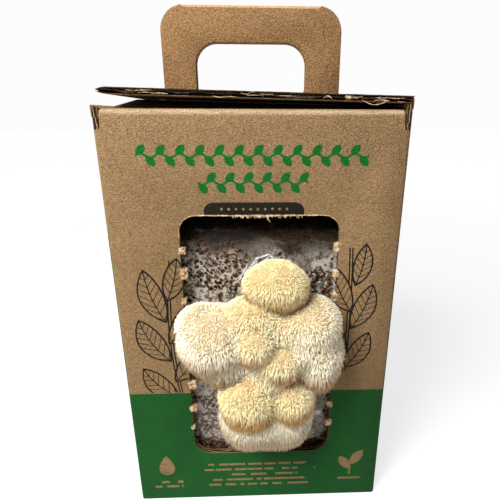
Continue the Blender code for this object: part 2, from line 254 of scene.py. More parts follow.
class Nodes:
    """The nodes of a material or a world."""

    def __init__(self, owner):
        owner.use_nodes = True
        self.tree = owner.node_tree

    def add(self, kind, settings=None, sockets=None, output=0):
        """Any node: its settings first, then the values or links of its sockets."""
        node = self.tree.nodes.new(kind)
        for name, value in (settings or {}).items():
            setattr(node, name, value)
        for name, value in (sockets or {}).items():
            self.feed(node.inputs[name], value)
        return Wire(self, node.outputs[output])

    def feed(self, socket, value):
        if isinstance(value, Wire):
            self.tree.links.new(value.socket, socket)
        elif socket.type == "RGBA" and len(value) == 3:
            socket.default_value = (*value, 1.0)
        else:
            socket.default_value = value

    def place(self, kind="Object"):
        return self.add("ShaderNodeTexCoord", output=kind)

    def parts(self, place):
        """The three parts of coordinates."""
        first = self.add("ShaderNodeSeparateXYZ", sockets={0: place})
        return first, first.other(1), first.other(2)

    def stretched(self, place, scale, turn=(0.0, 0.0, 0.0)):
        return self.add("ShaderNodeMapping", sockets={"Vector": place, "Scale": scale, "Rotation": turn})

    def slanted(self, place, sizes, turn):
        """Coordinates in units of the sizes, along axes that are turned first."""
        sockets = {"Vector": place, "Scale": sizes, "Rotation": turn}
        return self.add("ShaderNodeMapping", {"vector_type": "TEXTURE"}, sockets)

    def noise(self, place, scale, detail=3.0, roughness=0.55):
        sockets = {"Vector": place, "Scale": scale, "Detail": detail, "Roughness": roughness}
        return self.add("ShaderNodeTexNoise", sockets=sockets)

    def cells(self, place, scale):
        """Distance to the middle of the nearest of many cells; its other output is the cell's colour."""
        return self.add("ShaderNodeTexVoronoi", sockets={"Vector": place, "Scale": scale})

    def mix(self, factor, first, second):
        """One colour turning into another."""
        return self.add("ShaderNodeMix", {"data_type": "RGBA"}, {0: factor, 6: first, 7: second}, 2)

    def tint(self, colour, other):
        """Two colours multiplied."""
        settings = {"data_type": "RGBA", "blend_type": "MULTIPLY"}
        return self.add("ShaderNodeMix", settings, {0: 1.0, 6: colour, 7: other}, 2)

    def bump(self, height, distance, strength=1.0):
        sockets = {"Height": height, "Distance": distance, "Strength": strength}
        return self.add("ShaderNodeBump", sockets=sockets)


class Finish(Nodes):
    """A material with a Principled shader, and the nodes that feed it."""

    def __init__(self, name):
        self.material = bpy.data.materials.new(name)
        super().__init__(self.material)
        self.shader = self.tree.nodes["Principled BSDF"]

    def wear(self, **sockets):
        """Feeds the Principled shader's own sockets, by their names with _ for a space."""
        for name, value in sockets.items():
            self.feed(self.shader.inputs[name.replace("_", " ")], value)
        return self.material


def settle():
    """Object mode, with nothing selected."""
    active = bpy.context.view_layer.objects.active
    if active and active.mode != "OBJECT":
        bpy.ops.object.mode_set(mode="OBJECT")
    bpy.ops.object.select_all(action="DESELECT")


def only(thing):
    settle()
    thing.select_set(True)
    bpy.context.view_layer.objects.active = thing


def named(name):
    """The primitive that was just added, under its own name."""
    made = bpy.context.object
    made.name = name
    made.data.name = name
    return made


def apply_place(thing):
    only(thing)
    bpy.ops.object.transform_apply(location=True, rotation=True, scale=True)


def box_between(name, low, high):
    """A cube primitive between two opposite corners."""
    low, high = Vector(low), Vector(high)
    settle()
    bpy.ops.mesh.primitive_cube_add(size=1.0, location=(low + high) / 2)
    made = named(name)
    made.scale = high - low
    apply_place(made)
    return made


def sheet_between(name, low, high, columns, rows):
    """A flat grid primitive facing up, between two corners of one height."""
    low, high = Vector(low), Vector(high)
    settle()
    bpy.ops.mesh.primitive_grid_add(
        x_subdivisions=columns, y_subdivisions=rows, size=1.0, location=(low + high) / 2
    )
    made = named(name)
    made.scale = (high.x - low.x, high.y - low.y, 1.0)
    apply_place(made)
    return made


def middle(part):
    """Middle of an edge or a face in edit mode."""
    total = Vector()
    for vert in part.verts:
        total += vert.co
    return total / len(part.verts)


@contextmanager
def editing(thing, kind, chosen):
    """Edit mode, with the edges or faces selected that pass the test."""
    only(thing)
    bpy.ops.object.mode_set(mode="EDIT")
    bpy.ops.mesh.select_mode(type=kind)
    bpy.ops.mesh.select_all(action="DESELECT")
    mesh = bmesh.from_edit_mesh(thing.data)
    for part in {"EDGE": mesh.edges, "FACE": mesh.faces}[kind]:
        if chosen(part):
            part.select_set(True)
    mesh.select_flush_mode()
    bmesh.update_edit_mesh(thing.data)
    yield
    bpy.ops.object.mode_set(mode="OBJECT")


def bevel_edges(thing, chosen, radius, segments, material=-1):
    with editing(thing, "EDGE", chosen):
        bpy.ops.mesh.bevel(offset=radius, segments=segments, profile=0.5, affect="EDGES", material=material)


def runs_along(edge, axis):
    """Whether an edge runs along one axis, given by its number."""
    way = edge.verts[1].co - edge.verts[0].co
    return abs(way[axis]) > 0.999 * way.length


def modify(thing, kind, **settings):
    """Adds a modifier and applies it."""
    only(thing)
    step = thing.modifiers.new(kind.title(), kind)
    for name, value in settings.items():
        setattr(step, name, value)
    bpy.ops.object.modifier_apply(modifier=step.name)


def cut(thing, cutter):
    """Cuts one shape with another, which is then removed."""
    modify(thing, "BOOLEAN", operation="DIFFERENCE", solver="EXACT", object=cutter)
    bpy.data.objects.remove(cutter)


def cut_box(thing, low, high):
    """Cuts away a box between two corners, each part of which may be given in either order."""
    sides = [sorted(pair) for pair in zip(low, high)]
    cut(thing, box_between("cutter", *zip(*sides)))


def round_corners(thing, upper_radius, lower_radius):
    """Rounds the edges that run through an opening's cutter, the upper ones and the lower ones."""
    heights = [vert.co.z for vert in thing.data.vertices]
    half_way = (min(heights) + max(heights)) / 2
    for radius, is_upper in ((upper_radius, True), (lower_radius, False)):
        bevel_edges(
            thing, lambda edge: runs_along(edge, 1) and (middle(edge).z > half_way) == is_upper, radius, 14
        )


def join(name, parts):
    settle()
    for part in parts:
        part.select_set(True)
    bpy.context.view_layer.objects.active = parts[0]
    bpy.ops.object.join()
    return named(name)


def smooth(thing, degrees=35.0):
    only(thing)
    bpy.ops.object.shade_smooth_by_angle(angle=math.radians(degrees))


def dress(thing, *materials):
    thing.data.materials.clear()
    for material in materials:
        thing.data.materials.append(material)


def dress_faces(thing, index, chosen):
    """Gives one of the piece's materials to the faces that pass the test."""
    for face in thing.data.polygons:
        if chosen(face):
            face.material_index = index


def place_piece(thing, body, slot, *nodes):
    """Puts a finished piece on its body, in place of the nodes that it stands for."""
    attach(thing, body)
    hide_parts(*nodes)


def finish_flap(flap, node, finishes, is_cut):
    """Dresses a flap in two papers, the second on faces that pass the test, and puts it in its place."""
    dress(flap, *finishes)
    dress_faces(flap, 1, is_cut)
    smooth(flap)
    place_piece(flap, "carton", "kraft_board", node)


def add_object(name, data):
    made = bpy.data.objects.new(name, data)
    bpy.context.scene.collection.objects.link(made)
    return made


def mesh_piece(name, points, faces):
    """A new object from arrays of points and faces."""
    data = bpy.data.meshes.new(name)
    data.from_pydata([tuple(point) for point in points], [], faces)
    data.update()
    return add_object(name, data)


class Strips:
    """A mesh of closed strips. Its points come in rings of four."""

    def __init__(self):
        self.points = []
        self.faces = []

    def close(self, start, order=(0, 1, 2, 3)):
        """Adds the sides and the ends of the strip whose points begin at a number."""
        last = len(self.points) - 4
        for near in range(start, last, 4):
            for side in range(4):
                following = (side + 1) % 4
                quad = near + side, near + following, near + 4 + following, near + 4 + side
                self.faces.append([quad[corner] for corner in order])
        self.faces.append([start + corner for corner in reversed(order)])
        self.faces.append([last + corner for corner in order])

    def ribbon(self, path, width, thickness):
        """A flat strip along a path that faces the front, narrower towards its ends."""
        start = len(self.points)
        last = len(path) - 1
        for index, place in enumerate(path):
            along = (path[min(index + 1, last)] - path[max(index - 1, 0)]).normalized()
            half = width / 2 * (1.0 - 0.6 * abs(2 * index / last - 1) ** 3)
            across = along.cross(Vector((0.0, -1.0, 0.0))).normalized() * half
            deep = Vector((0.0, thickness, 0.0))
            one, other = place + across, place - across
            self.points.extend((one, other, other + deep, one + deep))
        self.close(start)

    def piece(self, name):
        return mesh_piece(name, self.points, self.faces)


def with_normals(thing):
    """Each vertex of a mesh with its normal, both as they are now."""
    return [(vert, vert.normal.copy()) for vert in thing.data.vertices]


def wobble(point, scale, seed=0.0):
    """Smooth noise from -1 to 1 at a place, with features of about 1 / scale metres."""
    return noise.noise(Vector(point) * scale + Vector((seed, -seed, 0.37 * seed)))


def scaled(colour, factor):
    return [part * factor for part in colour]


def paper(finish):
    """Kraft paper's coordinates, its cloudy tone, and the height of its short fibres that lie both ways."""
    place = finish.place()
    fine = finish.noise(place, 1900.0, 1.0, 0.5)
    slant = finish.noise(finish.slanted(place, (1.2 * MM, 1.2 * MM, 0.5 * MM), (0.0, 0.5, 0.0)), 1.0, 1.0)
    cloud = finish.noise(place, 42.0)
    grain = fine - 0.5 + (slant - 0.5) * 2.7
    tone = (grain * 0.6 + (cloud - 0.5) * 0.30 + 0.53).step(-0.14, 1.04)
    return place, tone, grain


def flecked(finish, place, colour, fleck_colour):
    """A paper colour with a few dark flecks in it."""
    cells = finish.cells(place, 230.0)
    return finish.mix((cells < 0.055) * (cells.other("Color").red() > 0.90), colour, fleck_colour)


def raggedness(finish, place, scale, detail):
    """Offset of up to a quarter of a millimetre, for lines that aren't quite straight."""
    return finish.noise(place, scale, detail) * (0.5 * MM) - 0.25 * MM


def paper_look(finish, colour, grain, rough=0.86, relief=0.40 * MM):
    """Dull paper in a colour, with the relief of its fibres."""
    bump = finish.bump(grain, relief)
    return finish.wear(Base_Color=colour, Roughness=rough, Specular_IOR_Level=0.15, Normal=bump)


def kraft_paper(name, shade=(1.0, 1.0, 1.0)):
    """Plain kraft paper, its colour multiplied by the parts of shade: darker where they are under 1,
    lighter where over 1.
    """
    board = bpy.context.scene.kit_board
    finish = Finish(name)
    place, tone, grain = paper(finish)
    dark, light = ([c * s for c, s in zip(colour, shade)] for colour in (board.kraft_shade, board.kraft))
    colour = flecked(finish, place, finish.mix(tone, dark, light), scaled(board.kraft_shade, 0.5))
    return paper_look(finish, colour, grain)


def torn_paper():
    """Pale fibres where the paper was torn."""
    board = bpy.context.scene.kit_board
    finish = Finish("torn_paper")
    place, tone, grain = paper(finish)
    patches = finish.noise(place, 330.0, 2.0).step(0.36, 0.62)
    colour = finish.mix(patches, board.cut, board.torn)
    colour = finish.mix(tone, finish.tint(colour, (0.75, 0.72, 0.66)), colour)
    return paper_look(finish, colour, grain, 0.95, 0.2 * MM)


def edge_paper(name, shade, pale):
    """Edge of one paper layer where the board was cut: the cut brown darkened by shade as painted shade, in
    two tones, with some pale torn spots.
    """
    board = bpy.context.scene.kit_board
    finish = Finish(name)
    place, tone, grain = paper(finish)
    spots = finish.noise(finish.stretched(place, (110.0, 420.0, 420.0)), 1.0).step(0.56, 0.66)
    brown = finish.mix(tone, scaled(board.cut, shade * 0.3), scaled(board.cut, shade))
    return paper_look(finish, finish.mix(spots * pale, brown, board.torn), grain, 0.95)


def cut_board(name, across, middle_height, wander=1.0, mirrored=False):
    """Cut edge of whole board: two liners, the hollows between them painted near black as shade, and the
    inner paper as one uneven line.

    across is the number of the axis through the board, middle_height the place of the board's middle on
    it. Mirrored stands for two boards, one on each side of zero.
    """
    board = bpy.context.scene.kit_board
    finish = Finish(name)
    place, tone, _ = paper(finish)
    depth = finish.parts(place)[across]
    depth = (abs(depth) if mirrored else depth) - middle_height
    swing = board.thickness / 2 - board.liner
    wave = (finish.noise(place, 140.0) - 0.5) * wander * swing * 3.0
    ragged = raggedness(finish, place, 700.0, 2.0)
    # Where there is no paper the edge gets the gap colour, painted shade in the hollows.
    solid = (abs(depth - wave + ragged) < 0.32 * MM).higher(abs(depth + ragged * 0.5) > swing)
    colour = finish.mix(solid, board.gap, finish.mix(tone, scaled(board.cut, 0.7), scaled(board.cut, 1.15)))
    bump = finish.bump(solid, 0.5 * MM)
    return finish.wear(Base_Color=colour, Roughness=0.95, Specular_IOR_Level=0.15, Normal=bump)


def circle(across, up, centre, radius):
    """Mask of a disc on the front."""
    right, high = across - centre[0], up - centre[1]
    return right * right + high * high < radius * radius


def almond(across, up, foot, tip, width):
    """Mask of a leaf between two points: the overlap of two discs."""
    foot, tip = Vector(foot), Vector(tip)
    half_length = (tip - foot).length / 2
    half_width = width / 2
    radius = (half_length * half_length + half_width * half_width) / (2 * half_width)
    side = Vector((foot.y - tip.y, tip.x - foot.x)).normalized() * (radius - half_width)
    centre = (foot + tip) / 2
    return circle(across, up, centre + side, radius) * circle(across, up, centre - side, radius)


def band(value, centre, half):
    return abs(value - centre) < half


def between(value, low, high):
    return (value > low) * (value < high)


# Rows of ornament in mm: left end, right end, height, number of units, and 1 or -1 for the way up
GARLANDS = ((-71.8, 70.2, 273.3, 12, 1.0), (-35.4, 33.4, 256.9, 6, -1.0))


def garland(across, up, left, right, height, units, way_up):
    """Mask of one row of ornament: a wavy stem with a leaf up and a leaf down in each unit."""
    left, right = left * MM, right * MM
    pitch = (right - left) / units
    turn = (across - left) * (1.0 / pitch)
    along = turn.fraction() * pitch
    level = (up - height * MM) * way_up
    stem = band(level, (turn * math.tau).sine() * (1.3 * MM), 0.85 * MM)
    high_leaf = almond(along, level, (0.06 * pitch, 0.4 * MM), (0.50 * pitch, 6.4 * MM), 4.9 * MM)
    low_leaf = almond(along, level, (0.52 * pitch, -0.2 * MM), (0.97 * pitch, -6.3 * MM), 4.9 * MM)
    return highest((stem, high_leaf, low_leaf)) * between(across, left, right)


# Rows of dashes left bare in the green, in mm: left end, right end, height, half height, row of the noise
DASHES = (
    (-40, 40, 33.6, 0.95, 0), (-45, 45, 28.4, 0.95, 1), (-31, 31, 23.2, 0.95, 2), (-37, 37, 18.0, 0.95, 3),
    (-40, 40, 12.9, 0.95, 4), (-83.2, -60.6, 17.2, 1.1, 9), (-83.2, -60.6, 12.6, 1.1, 10),
)


def dashes(finish, across, up, left, right, height, half_height, row):
    """Mask of a row of plain dashes of uneven length."""
    point = finish.add("ShaderNodeCombineXYZ", sockets={0: across * 165.0, 1: row * 3.7})
    broken = finish.noise(point, 1.0, 0.0) > 0.40
    return band(up, height * MM, half_height * MM) * between(across, left * MM, right * MM) * broken


def drop(across, up):
    """Mask of a drop with a curved shine in it."""
    middle_x, floor, height = -72.3 * MM, 24.5 * MM, 19.2 * MM
    rise = ((up - floor) / height).higher(0.0)
    body = abs(across - middle_x) < (rise ** 0.5) * (1.0 - rise) * (15.6 * MM)
    shine_radius = 4.4 * MM
    shine = circle(across, up, (middle_x, 30.8 * MM), shine_radius) * (up < 28.6 * MM)
    shine = shine * (1.0 - circle(across, up, (middle_x + 0.4 * MM, 31.4 * MM), shine_radius))
    return body * (1.0 - shine)


def sprout(across, up):
    """Mask of a stem with two leaves, on a line of ground."""
    stem_x = 73.0 * MM
    stem = band(across, stem_x, 0.65 * MM) * band(up, 27.0 * MM, 6.5 * MM)
    left_leaf = almond(across, up, (stem_x, 26.0 * MM), (64.0 * MM, 39.0 * MM), 7.5 * MM)
    right_leaf = almond(across, up, (stem_x, 30.5 * MM), (82.5 * MM, 44.5 * MM), 8.0 * MM)
    ground = band(across, stem_x, 9.0 * MM) * band(up, 16.5 * MM, 0.9 * MM)
    return highest((stem, left_leaf, right_leaf, ground))


def knocked_out(finish, across, up):
    """Mask of what is left bare in the green: a drop, rows of dashes and a sprout."""
    rows = [dashes(finish, across, up, *row) for row in DASHES]
    return highest((drop(across, up), sprout(across, up), *rows))


def tab_mask(across, up):
    """Mask of the dark rounded tab over the window, and of the dots left bare in it."""
    centre, half_width, top, radius = -0.75 * MM, 31.95 * MM, 244.5 * MM, 6.0 * MM
    beyond = (abs(across - centre) - (half_width - radius)).higher(0.0)
    above = (up - (top - radius)).higher(0.0)
    tab = circle(beyond, above, (0.0, 0.0), radius) * (up > WINDOW_TOP - radius)
    pitch = 4.6 * MM
    step = ((across - centre) * (1.0 / pitch)).fraction() * pitch
    dots = circle(step, up, (pitch / 2, 240.2 * MM), 0.85 * MM) * band(across, centre, 5 * pitch)
    return tab * (1.0 - dots)


def drawn_leaf(across, up, foot, tip, width, veins, bow):
    """Masks of a leaf drawn in lines, and of the whole leaf: outline, midrib and slanted veins."""
    foot, tip = Vector(foot) * MM, Vector(tip) * MM
    length = (tip - foot).length
    way = (tip - foot) / length
    right, high = across - foot.x, up - foot.y
    run = right * way.x + high * way.y
    bend = run * (length - run) * (4 * bow * MM / length ** 2)
    off = abs(high * way.x - right * way.y - bend)
    half_width = width * MM / 2
    radius = (length * length / 4 + half_width * half_width) / (2 * half_width)
    middle_run = run - length / 2
    middle_off = off + (radius - half_width)
    reach = (middle_run * middle_run + middle_off * middle_off) ** 0.5
    whole = reach < radius
    outline = reach > radius - 1.15 * MM
    midrib = off < 0.42 * MM
    pitch = length / (veins + 1)
    vein = band(((run - off * 0.95) * (1.0 / pitch)).fraction(), 0.5, 0.36 * MM / pitch)
    return highest((outline, vein, midrib)) * whole, whole


def leaf_drawing(across, up, stem_x, stem_bow, floor, top, leaves):
    """Mask of a line drawing: a double stem with leaves, each of which hides what is behind it."""
    rise = (up - (floor + top) / 2 * MM) * (2 / (top - floor) / MM)
    centre = (1.0 - rise * rise) * (stem_bow * MM) + stem_x * MM
    mask = band(abs(across - centre), 0.95 * MM, 0.5 * MM) * (up < top * MM)
    for leaf in leaves:
        lines, whole = drawn_leaf(across, up, *leaf)
        mask = mask * (1.0 - whole) + lines
    return mask * (up > floor * MM)


# The two drawings in mm: middle and bow of the stem, its floor and top, and its leaves, each with its foot,
# tip, width, number of veins and bow
DRAWINGS = (
    (-56.0, -4.0, 102.6, 206.0, (
        ((-61.0, 176.0), (-52.0, 208.0), 15.0, 6, -1.6), ((-60.0, 112.0), (-39.0, 144.0), 17.0, 6, -2.5),
        ((-62.0, 143.0), (-42.0, 177.0), 17.5, 6, -2.5), ((-62.0, 160.0), (-75.0, 200.0), 17.5, 7, 2.5),
        ((-58.0, 99.0), (-82.0, 124.0), 17.0, 6, 3.0), ((-61.0, 129.0), (-81.5, 163.0), 18.5, 7, 3.0),
    )),
    (63.0, 1.0, 119.0, 214.0, (
        ((63.5, 134.0), (48.0, 167.0), 16.0, 6, 2.2), ((67.0, 186.0), (73.0, 217.0), 13.5, 6, -1.5),
        ((66.0, 166.0), (51.0, 202.0), 16.5, 7, 2.2), ((62.0, 121.0), (79.5, 151.0), 15.5, 6, -2.5),
        ((65.5, 153.0), (79.5, 188.0), 16.0, 7, -2.2),
    )),
)


def printed_board():
    """Outside of the carton: kraft with a green band, leaf garlands, a dark tab and bare motifs, a painted
    highlight along the upper folds and painted shade towards the front's right edge.
    """
    board = bpy.context.scene.kit_board
    ink = bpy.context.scene.kit_print
    finish = Finish("printed_board")
    place, tone, grain = paper(finish)
    x, y, z = finish.parts(place)
    on_front = y < FRONT + 1.5 * MM
    on_side = abs(x) > SIDE - 1.1 * MM
    ragged = raggedness(finish, place, 210.0, 3.0)
    soft_x, soft_z = x + ragged * 0.5, z + ragged * 0.5

    kraft = finish.mix(tone, board.kraft_shade, board.kraft)
    colour = flecked(finish, place, kraft, scaled(board.kraft_shade, 0.4))
    # Pale torn-paper colour along the upper folds: partly rubbed wear, partly a painted highlight on the
    # fold's rounding.
    wear_and_highlight_patches = finish.noise(finish.stretched(place, (60.0, 60.0, 400.0)), 1.0).step(0.2, 0.7)
    fold_wear_and_highlight = abs(z - (FRONT_TOP - 1.7 * MM)).step(2.2 * MM, 0.1 * MM) * (abs(x) < SIDE - 5.5 * MM)
    colour = finish.mix(fold_wear_and_highlight * (wear_and_highlight_patches * 0.35 + 0.22), colour, board.torn)

    height = ink.band_top + (ink.side_band_top - ink.band_top) * on_side
    green_mask = (z + ragged < height) * (1.0 - knocked_out(finish, soft_x, soft_z) * on_front)
    green = finish.mix(finish.noise(place, 60.0, 4.0).step(0.3, 0.7), ink.green_shade, ink.green)
    green = finish.mix(tone * 0.3, finish.tint(green, (0.8, 0.8, 0.8)), green)
    colour = finish.mix(green_mask, colour, green)
    for mask, ink_colour in (
        (highest([garland(soft_x, soft_z, *row) for row in GARLANDS]), ink.ornament),
        (highest([leaf_drawing(soft_x, soft_z, *drawing) for drawing in DRAWINGS]), ink.black),
        (tab_mask(soft_x, soft_z), ink.charcoal),
    ):
        colour = finish.mix(mask * on_front, colour, ink_colour)
    # Painted shade: the front darker towards its right edge, where the board bends round into the corner.
    margin = x.step(73 * MM, 93 * MM) * on_front * (z < SLOT_FLOOR)
    colour = finish.mix(margin * 0.6, colour, finish.tint(colour, (0.62, 0.60, 0.58)))
    return paper_look(finish, colour, grain, 0.86 - green_mask * 0.16)


class KIT_OT_walls(bpy.types.Operator):
    """Builds the four walls of the carton, with the window and the corner slots"""

    bl_idname = "kit.walls"
    bl_label = "Carton walls"
    bl_options = {"REGISTER", "UNDO"}

    # The walls' materials after the printed outside
    INSIDE, RIM, WINDOW_EDGE, SLOT_EDGE = 1, 2, 3, 4

    def execute(self, context):
        wall = context.scene.kit_board.thickness
        inner_x, inner_y = SIDE - wall, BACK - wall
        walls = box_between("carton_walls", (-SIDE, FRONT, 0.2 * MM), (SIDE, BACK, RIGHT_TOP))
        bevel_edges(walls, lambda edge: runs_along(edge, 2), CORNER_RADIUS, 5)
        cut_box(walls, (-inner_x, -inner_y, -PAST), (inner_x, inner_y, OVERHEAD))
        cut_box(walls, (-inner_x, FRONT - PAST, FRONT_TOP), (inner_x, BACK + PAST, OVERHEAD))
        cut_box(walls, (-SIDE - PAST, FRONT - PAST, LEFT_TOP), (-inner_x, BACK + PAST, OVERHEAD))
        for x_side in (-1, 1):
            foot_x = x_side * (inner_x + wall * 0.5)
            cut_box(walls, (x_side * SIDE * 1.1, FRONT + 3 * MM, -PAST), (foot_x, BACK - 3 * MM, WALL_FOOT))
            for y_side in (-1, 1):
                self.cut_corner_slot(walls, x_side, y_side, inner_x)
        for y_side in (-1, 1):
            self.round_fold(walls, y_side * BACK, inner_x)
        self.cut_window(walls, wall)
        self.dress_walls(walls)
        smooth(walls)
        place_piece(walls, "carton", "kraft_board", "front_wall", "back_wall", "left_wall", "right_wall")
        return {"FINISHED"}

    def cut_corner_slot(self, walls, x_side, y_side, inner_x):
        """A slot above each corner: the side wall's end is set back, with a slit beside the front."""
        for past_x, from_y in ((SIDE + MM, TONGUE), (inner_x + SLOT_WIDTH, BACK - 5 * MM)):
            cut_box(
                walls, (x_side * inner_x, y_side * from_y, SLOT_FLOOR),
                (x_side * past_x, y_side * (BACK + MM), OVERHEAD),
            )

    def round_fold(self, walls, face_y, inner_x):
        """Rounds the upper corners of a wall, and then the fold between them."""

        def is_corner(edge):
            place = middle(edge)
            high = abs(place.z - FRONT_TOP) < 2 * TOUCH and abs(abs(place.x) - inner_x) < 2 * TOUCH
            return high and runs_along(edge, 1) and abs(place.y) > BACK - 5 * MM and place.y * face_y > 0

        def is_fold(edge):
            place = middle(edge)
            on_face = all(abs(vert.co.y - face_y) < TOUCH for vert in edge.verts)
            return on_face and place.z > SLOT_FLOOR + MM and abs(place.x) < inner_x + 2 * TOUCH

        bevel_edges(walls, is_corner, FOLD_CORNER_RADIUS, 5)
        bevel_edges(walls, is_fold, CREASE_RADIUS, 5)

    def cut_window(self, walls, wall):
        low = WINDOW_LEFT, FRONT - PAST, WINDOW_FLOOR
        window = box_between("window", low, (WINDOW_RIGHT, FRONT + wall + PAST, WINDOW_TOP))
        round_corners(window, WINDOW_TOP_RADIUS, WINDOW_FLOOR_RADIUS)
        cut(walls, window)

        def is_rim(edge):
            on_front = all(abs(vert.co.y - FRONT) < TOUCH for vert in edge.verts)
            return on_front and all(self.in_window(vert.co, 2 * TOUCH) for vert in edge.verts)

        bevel_edges(walls, is_rim, 0.55 * MM, 2, material=self.RIM)

    def in_window(self, place, margin):
        """Whether a place on the front is in the window or not further from it than the margin."""
        across = WINDOW_LEFT - margin < place.x < WINDOW_RIGHT + margin
        return across and WINDOW_FLOOR - margin < place.z < WINDOW_TOP + margin

    def dress_walls(self, walls):
        """Printed outside, plain inside, pale rim and brown cut edges."""
        dress(
            walls, printed_board(), kraft_paper("kraft_inside", (0.8, 0.8, 0.8)), torn_paper(),
            cut_board("window_edge", 1, FRONT + 2 * MM, wander=1.3),
            cut_board("slot_edge", 0, SIDE - 2 * MM, mirrored=True),
        )
        for face in walls.data.polygons:
            place, way = face.center, face.normal
            if face.material_index == self.RIM:
                continue
            if self.in_window(place, MM) and place.y < FRONT + 4.2 * MM and abs(way.y) < 0.5:
                face.material_index = self.WINDOW_EDGE
            elif place.z > SLOT_FLOOR - MM and abs(place.x) > SIDE - 4.5 * MM and abs(way.x) < 0.5:
                face.material_index = self.SLOT_EDGE
            elif place.to_2d().dot(way.to_2d()) < 0:
                face.material_index = self.INSIDE


class KIT_OT_bottom(bpy.types.Operator):
    """Builds the two outer and two inner flaps of the bottom"""

    bl_idname = "kit.bottom"
    bl_label = "Bottom flaps"
    bl_options = {"REGISTER", "UNDO"}

    # How far an outer flap stays behind the face of its own wall, and short of the side walls
    wall_seat = 4.05 * MM
    short_of_side = 3 * MM

    def execute(self, context):
        finishes = kraft_paper("kraft_bottom"), cut_board("bottom_edge", 2, 2 * MM)
        for node in ("bottom_front_flap", "bottom_back_flap"):
            low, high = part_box(node)
            if low.y < -SIDE / 2:
                low.y += self.wall_seat
            else:
                high.y -= self.wall_seat
            low.x += self.short_of_side
            high.x -= self.short_of_side
            self.flap("underside_" + node, low, high, finishes, node)
        for node in ("bottom_left_flap", "bottom_right_flap"):
            self.flap("inner_" + node, *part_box(node), finishes, node)
        return {"FINISHED"}

    def flap(self, name, low, high, finishes, node):
        flap = box_between(name, low, high)
        bevel_edges(flap, lambda edge: True, 0.4 * MM, 2)
        finish_flap(flap, node, finishes, lambda face: abs(face.normal.z) < 0.5)


class KIT_OT_top_flaps(bpy.types.Operator):
    """Builds the front and back flaps under the lid, and the left flap that slopes into the carton"""

    bl_idname = "kit.top_flaps"
    bl_label = "Top flaps"
    bl_options = {"REGISTER", "UNDO"}

    def execute(self, context):
        finishes = kraft_paper("kraft_flaps"), cut_board("flap_edge", 0, -SIDE + 2 * MM)

        def is_cut(face):
            return abs(face.normal.y) > 0.9 or abs(face.normal.x) > 0.97

        for node, name, move in (
            ("front_top_flap", "raised_front_top_flap", self.meet_wall),
            ("back_top_flap", "raised_back_top_flap", self.meet_wall),
            ("left_top_flap", "sloping_left_flap", self.meet_left_wall),
        ):
            flap = self.copy_of(node, name)
            for vert in flap.data.vertices:
                move(vert.co)
            finish_flap(flap, node, finishes, is_cut)
        return {"FINISHED"}

    def meet_wall(self, place):
        """Carries a flap's foot out to the face of the front or back wall."""
        if abs(place.y) > BACK - 6 * MM:
            place.y += math.copysign(2.5 * MM, place.y)
            place.z = FRONT_TOP + (0.06 * MM if place.z > FRONT_TOP - 2 * MM else -3.0 * MM)

    def meet_left_wall(self, place):
        """Brings the left flap's outer corners down to the wall's top."""
        if place.z < LEFT_TOP + 0.5 * MM and place.x < -SIDE + 5 * MM and abs(place.y) > BACK - 2 * MM:
            place.z = LEFT_TOP - 0.02 * MM

    def copy_of(self, node, name):
        """A copy of a node's shape, with its loose triangles joined up and flat areas made one face."""
        settle()
        made = mesh_piece(name, [], [])
        made.data = frame["nodes"][node].data.copy()
        made.data.name = name
        with editing(made, "FACE", lambda face: True):
            bpy.ops.mesh.remove_doubles(threshold=0.00001)
            bpy.ops.mesh.dissolve_limited(angle_limit=math.radians(1.0))
        return made


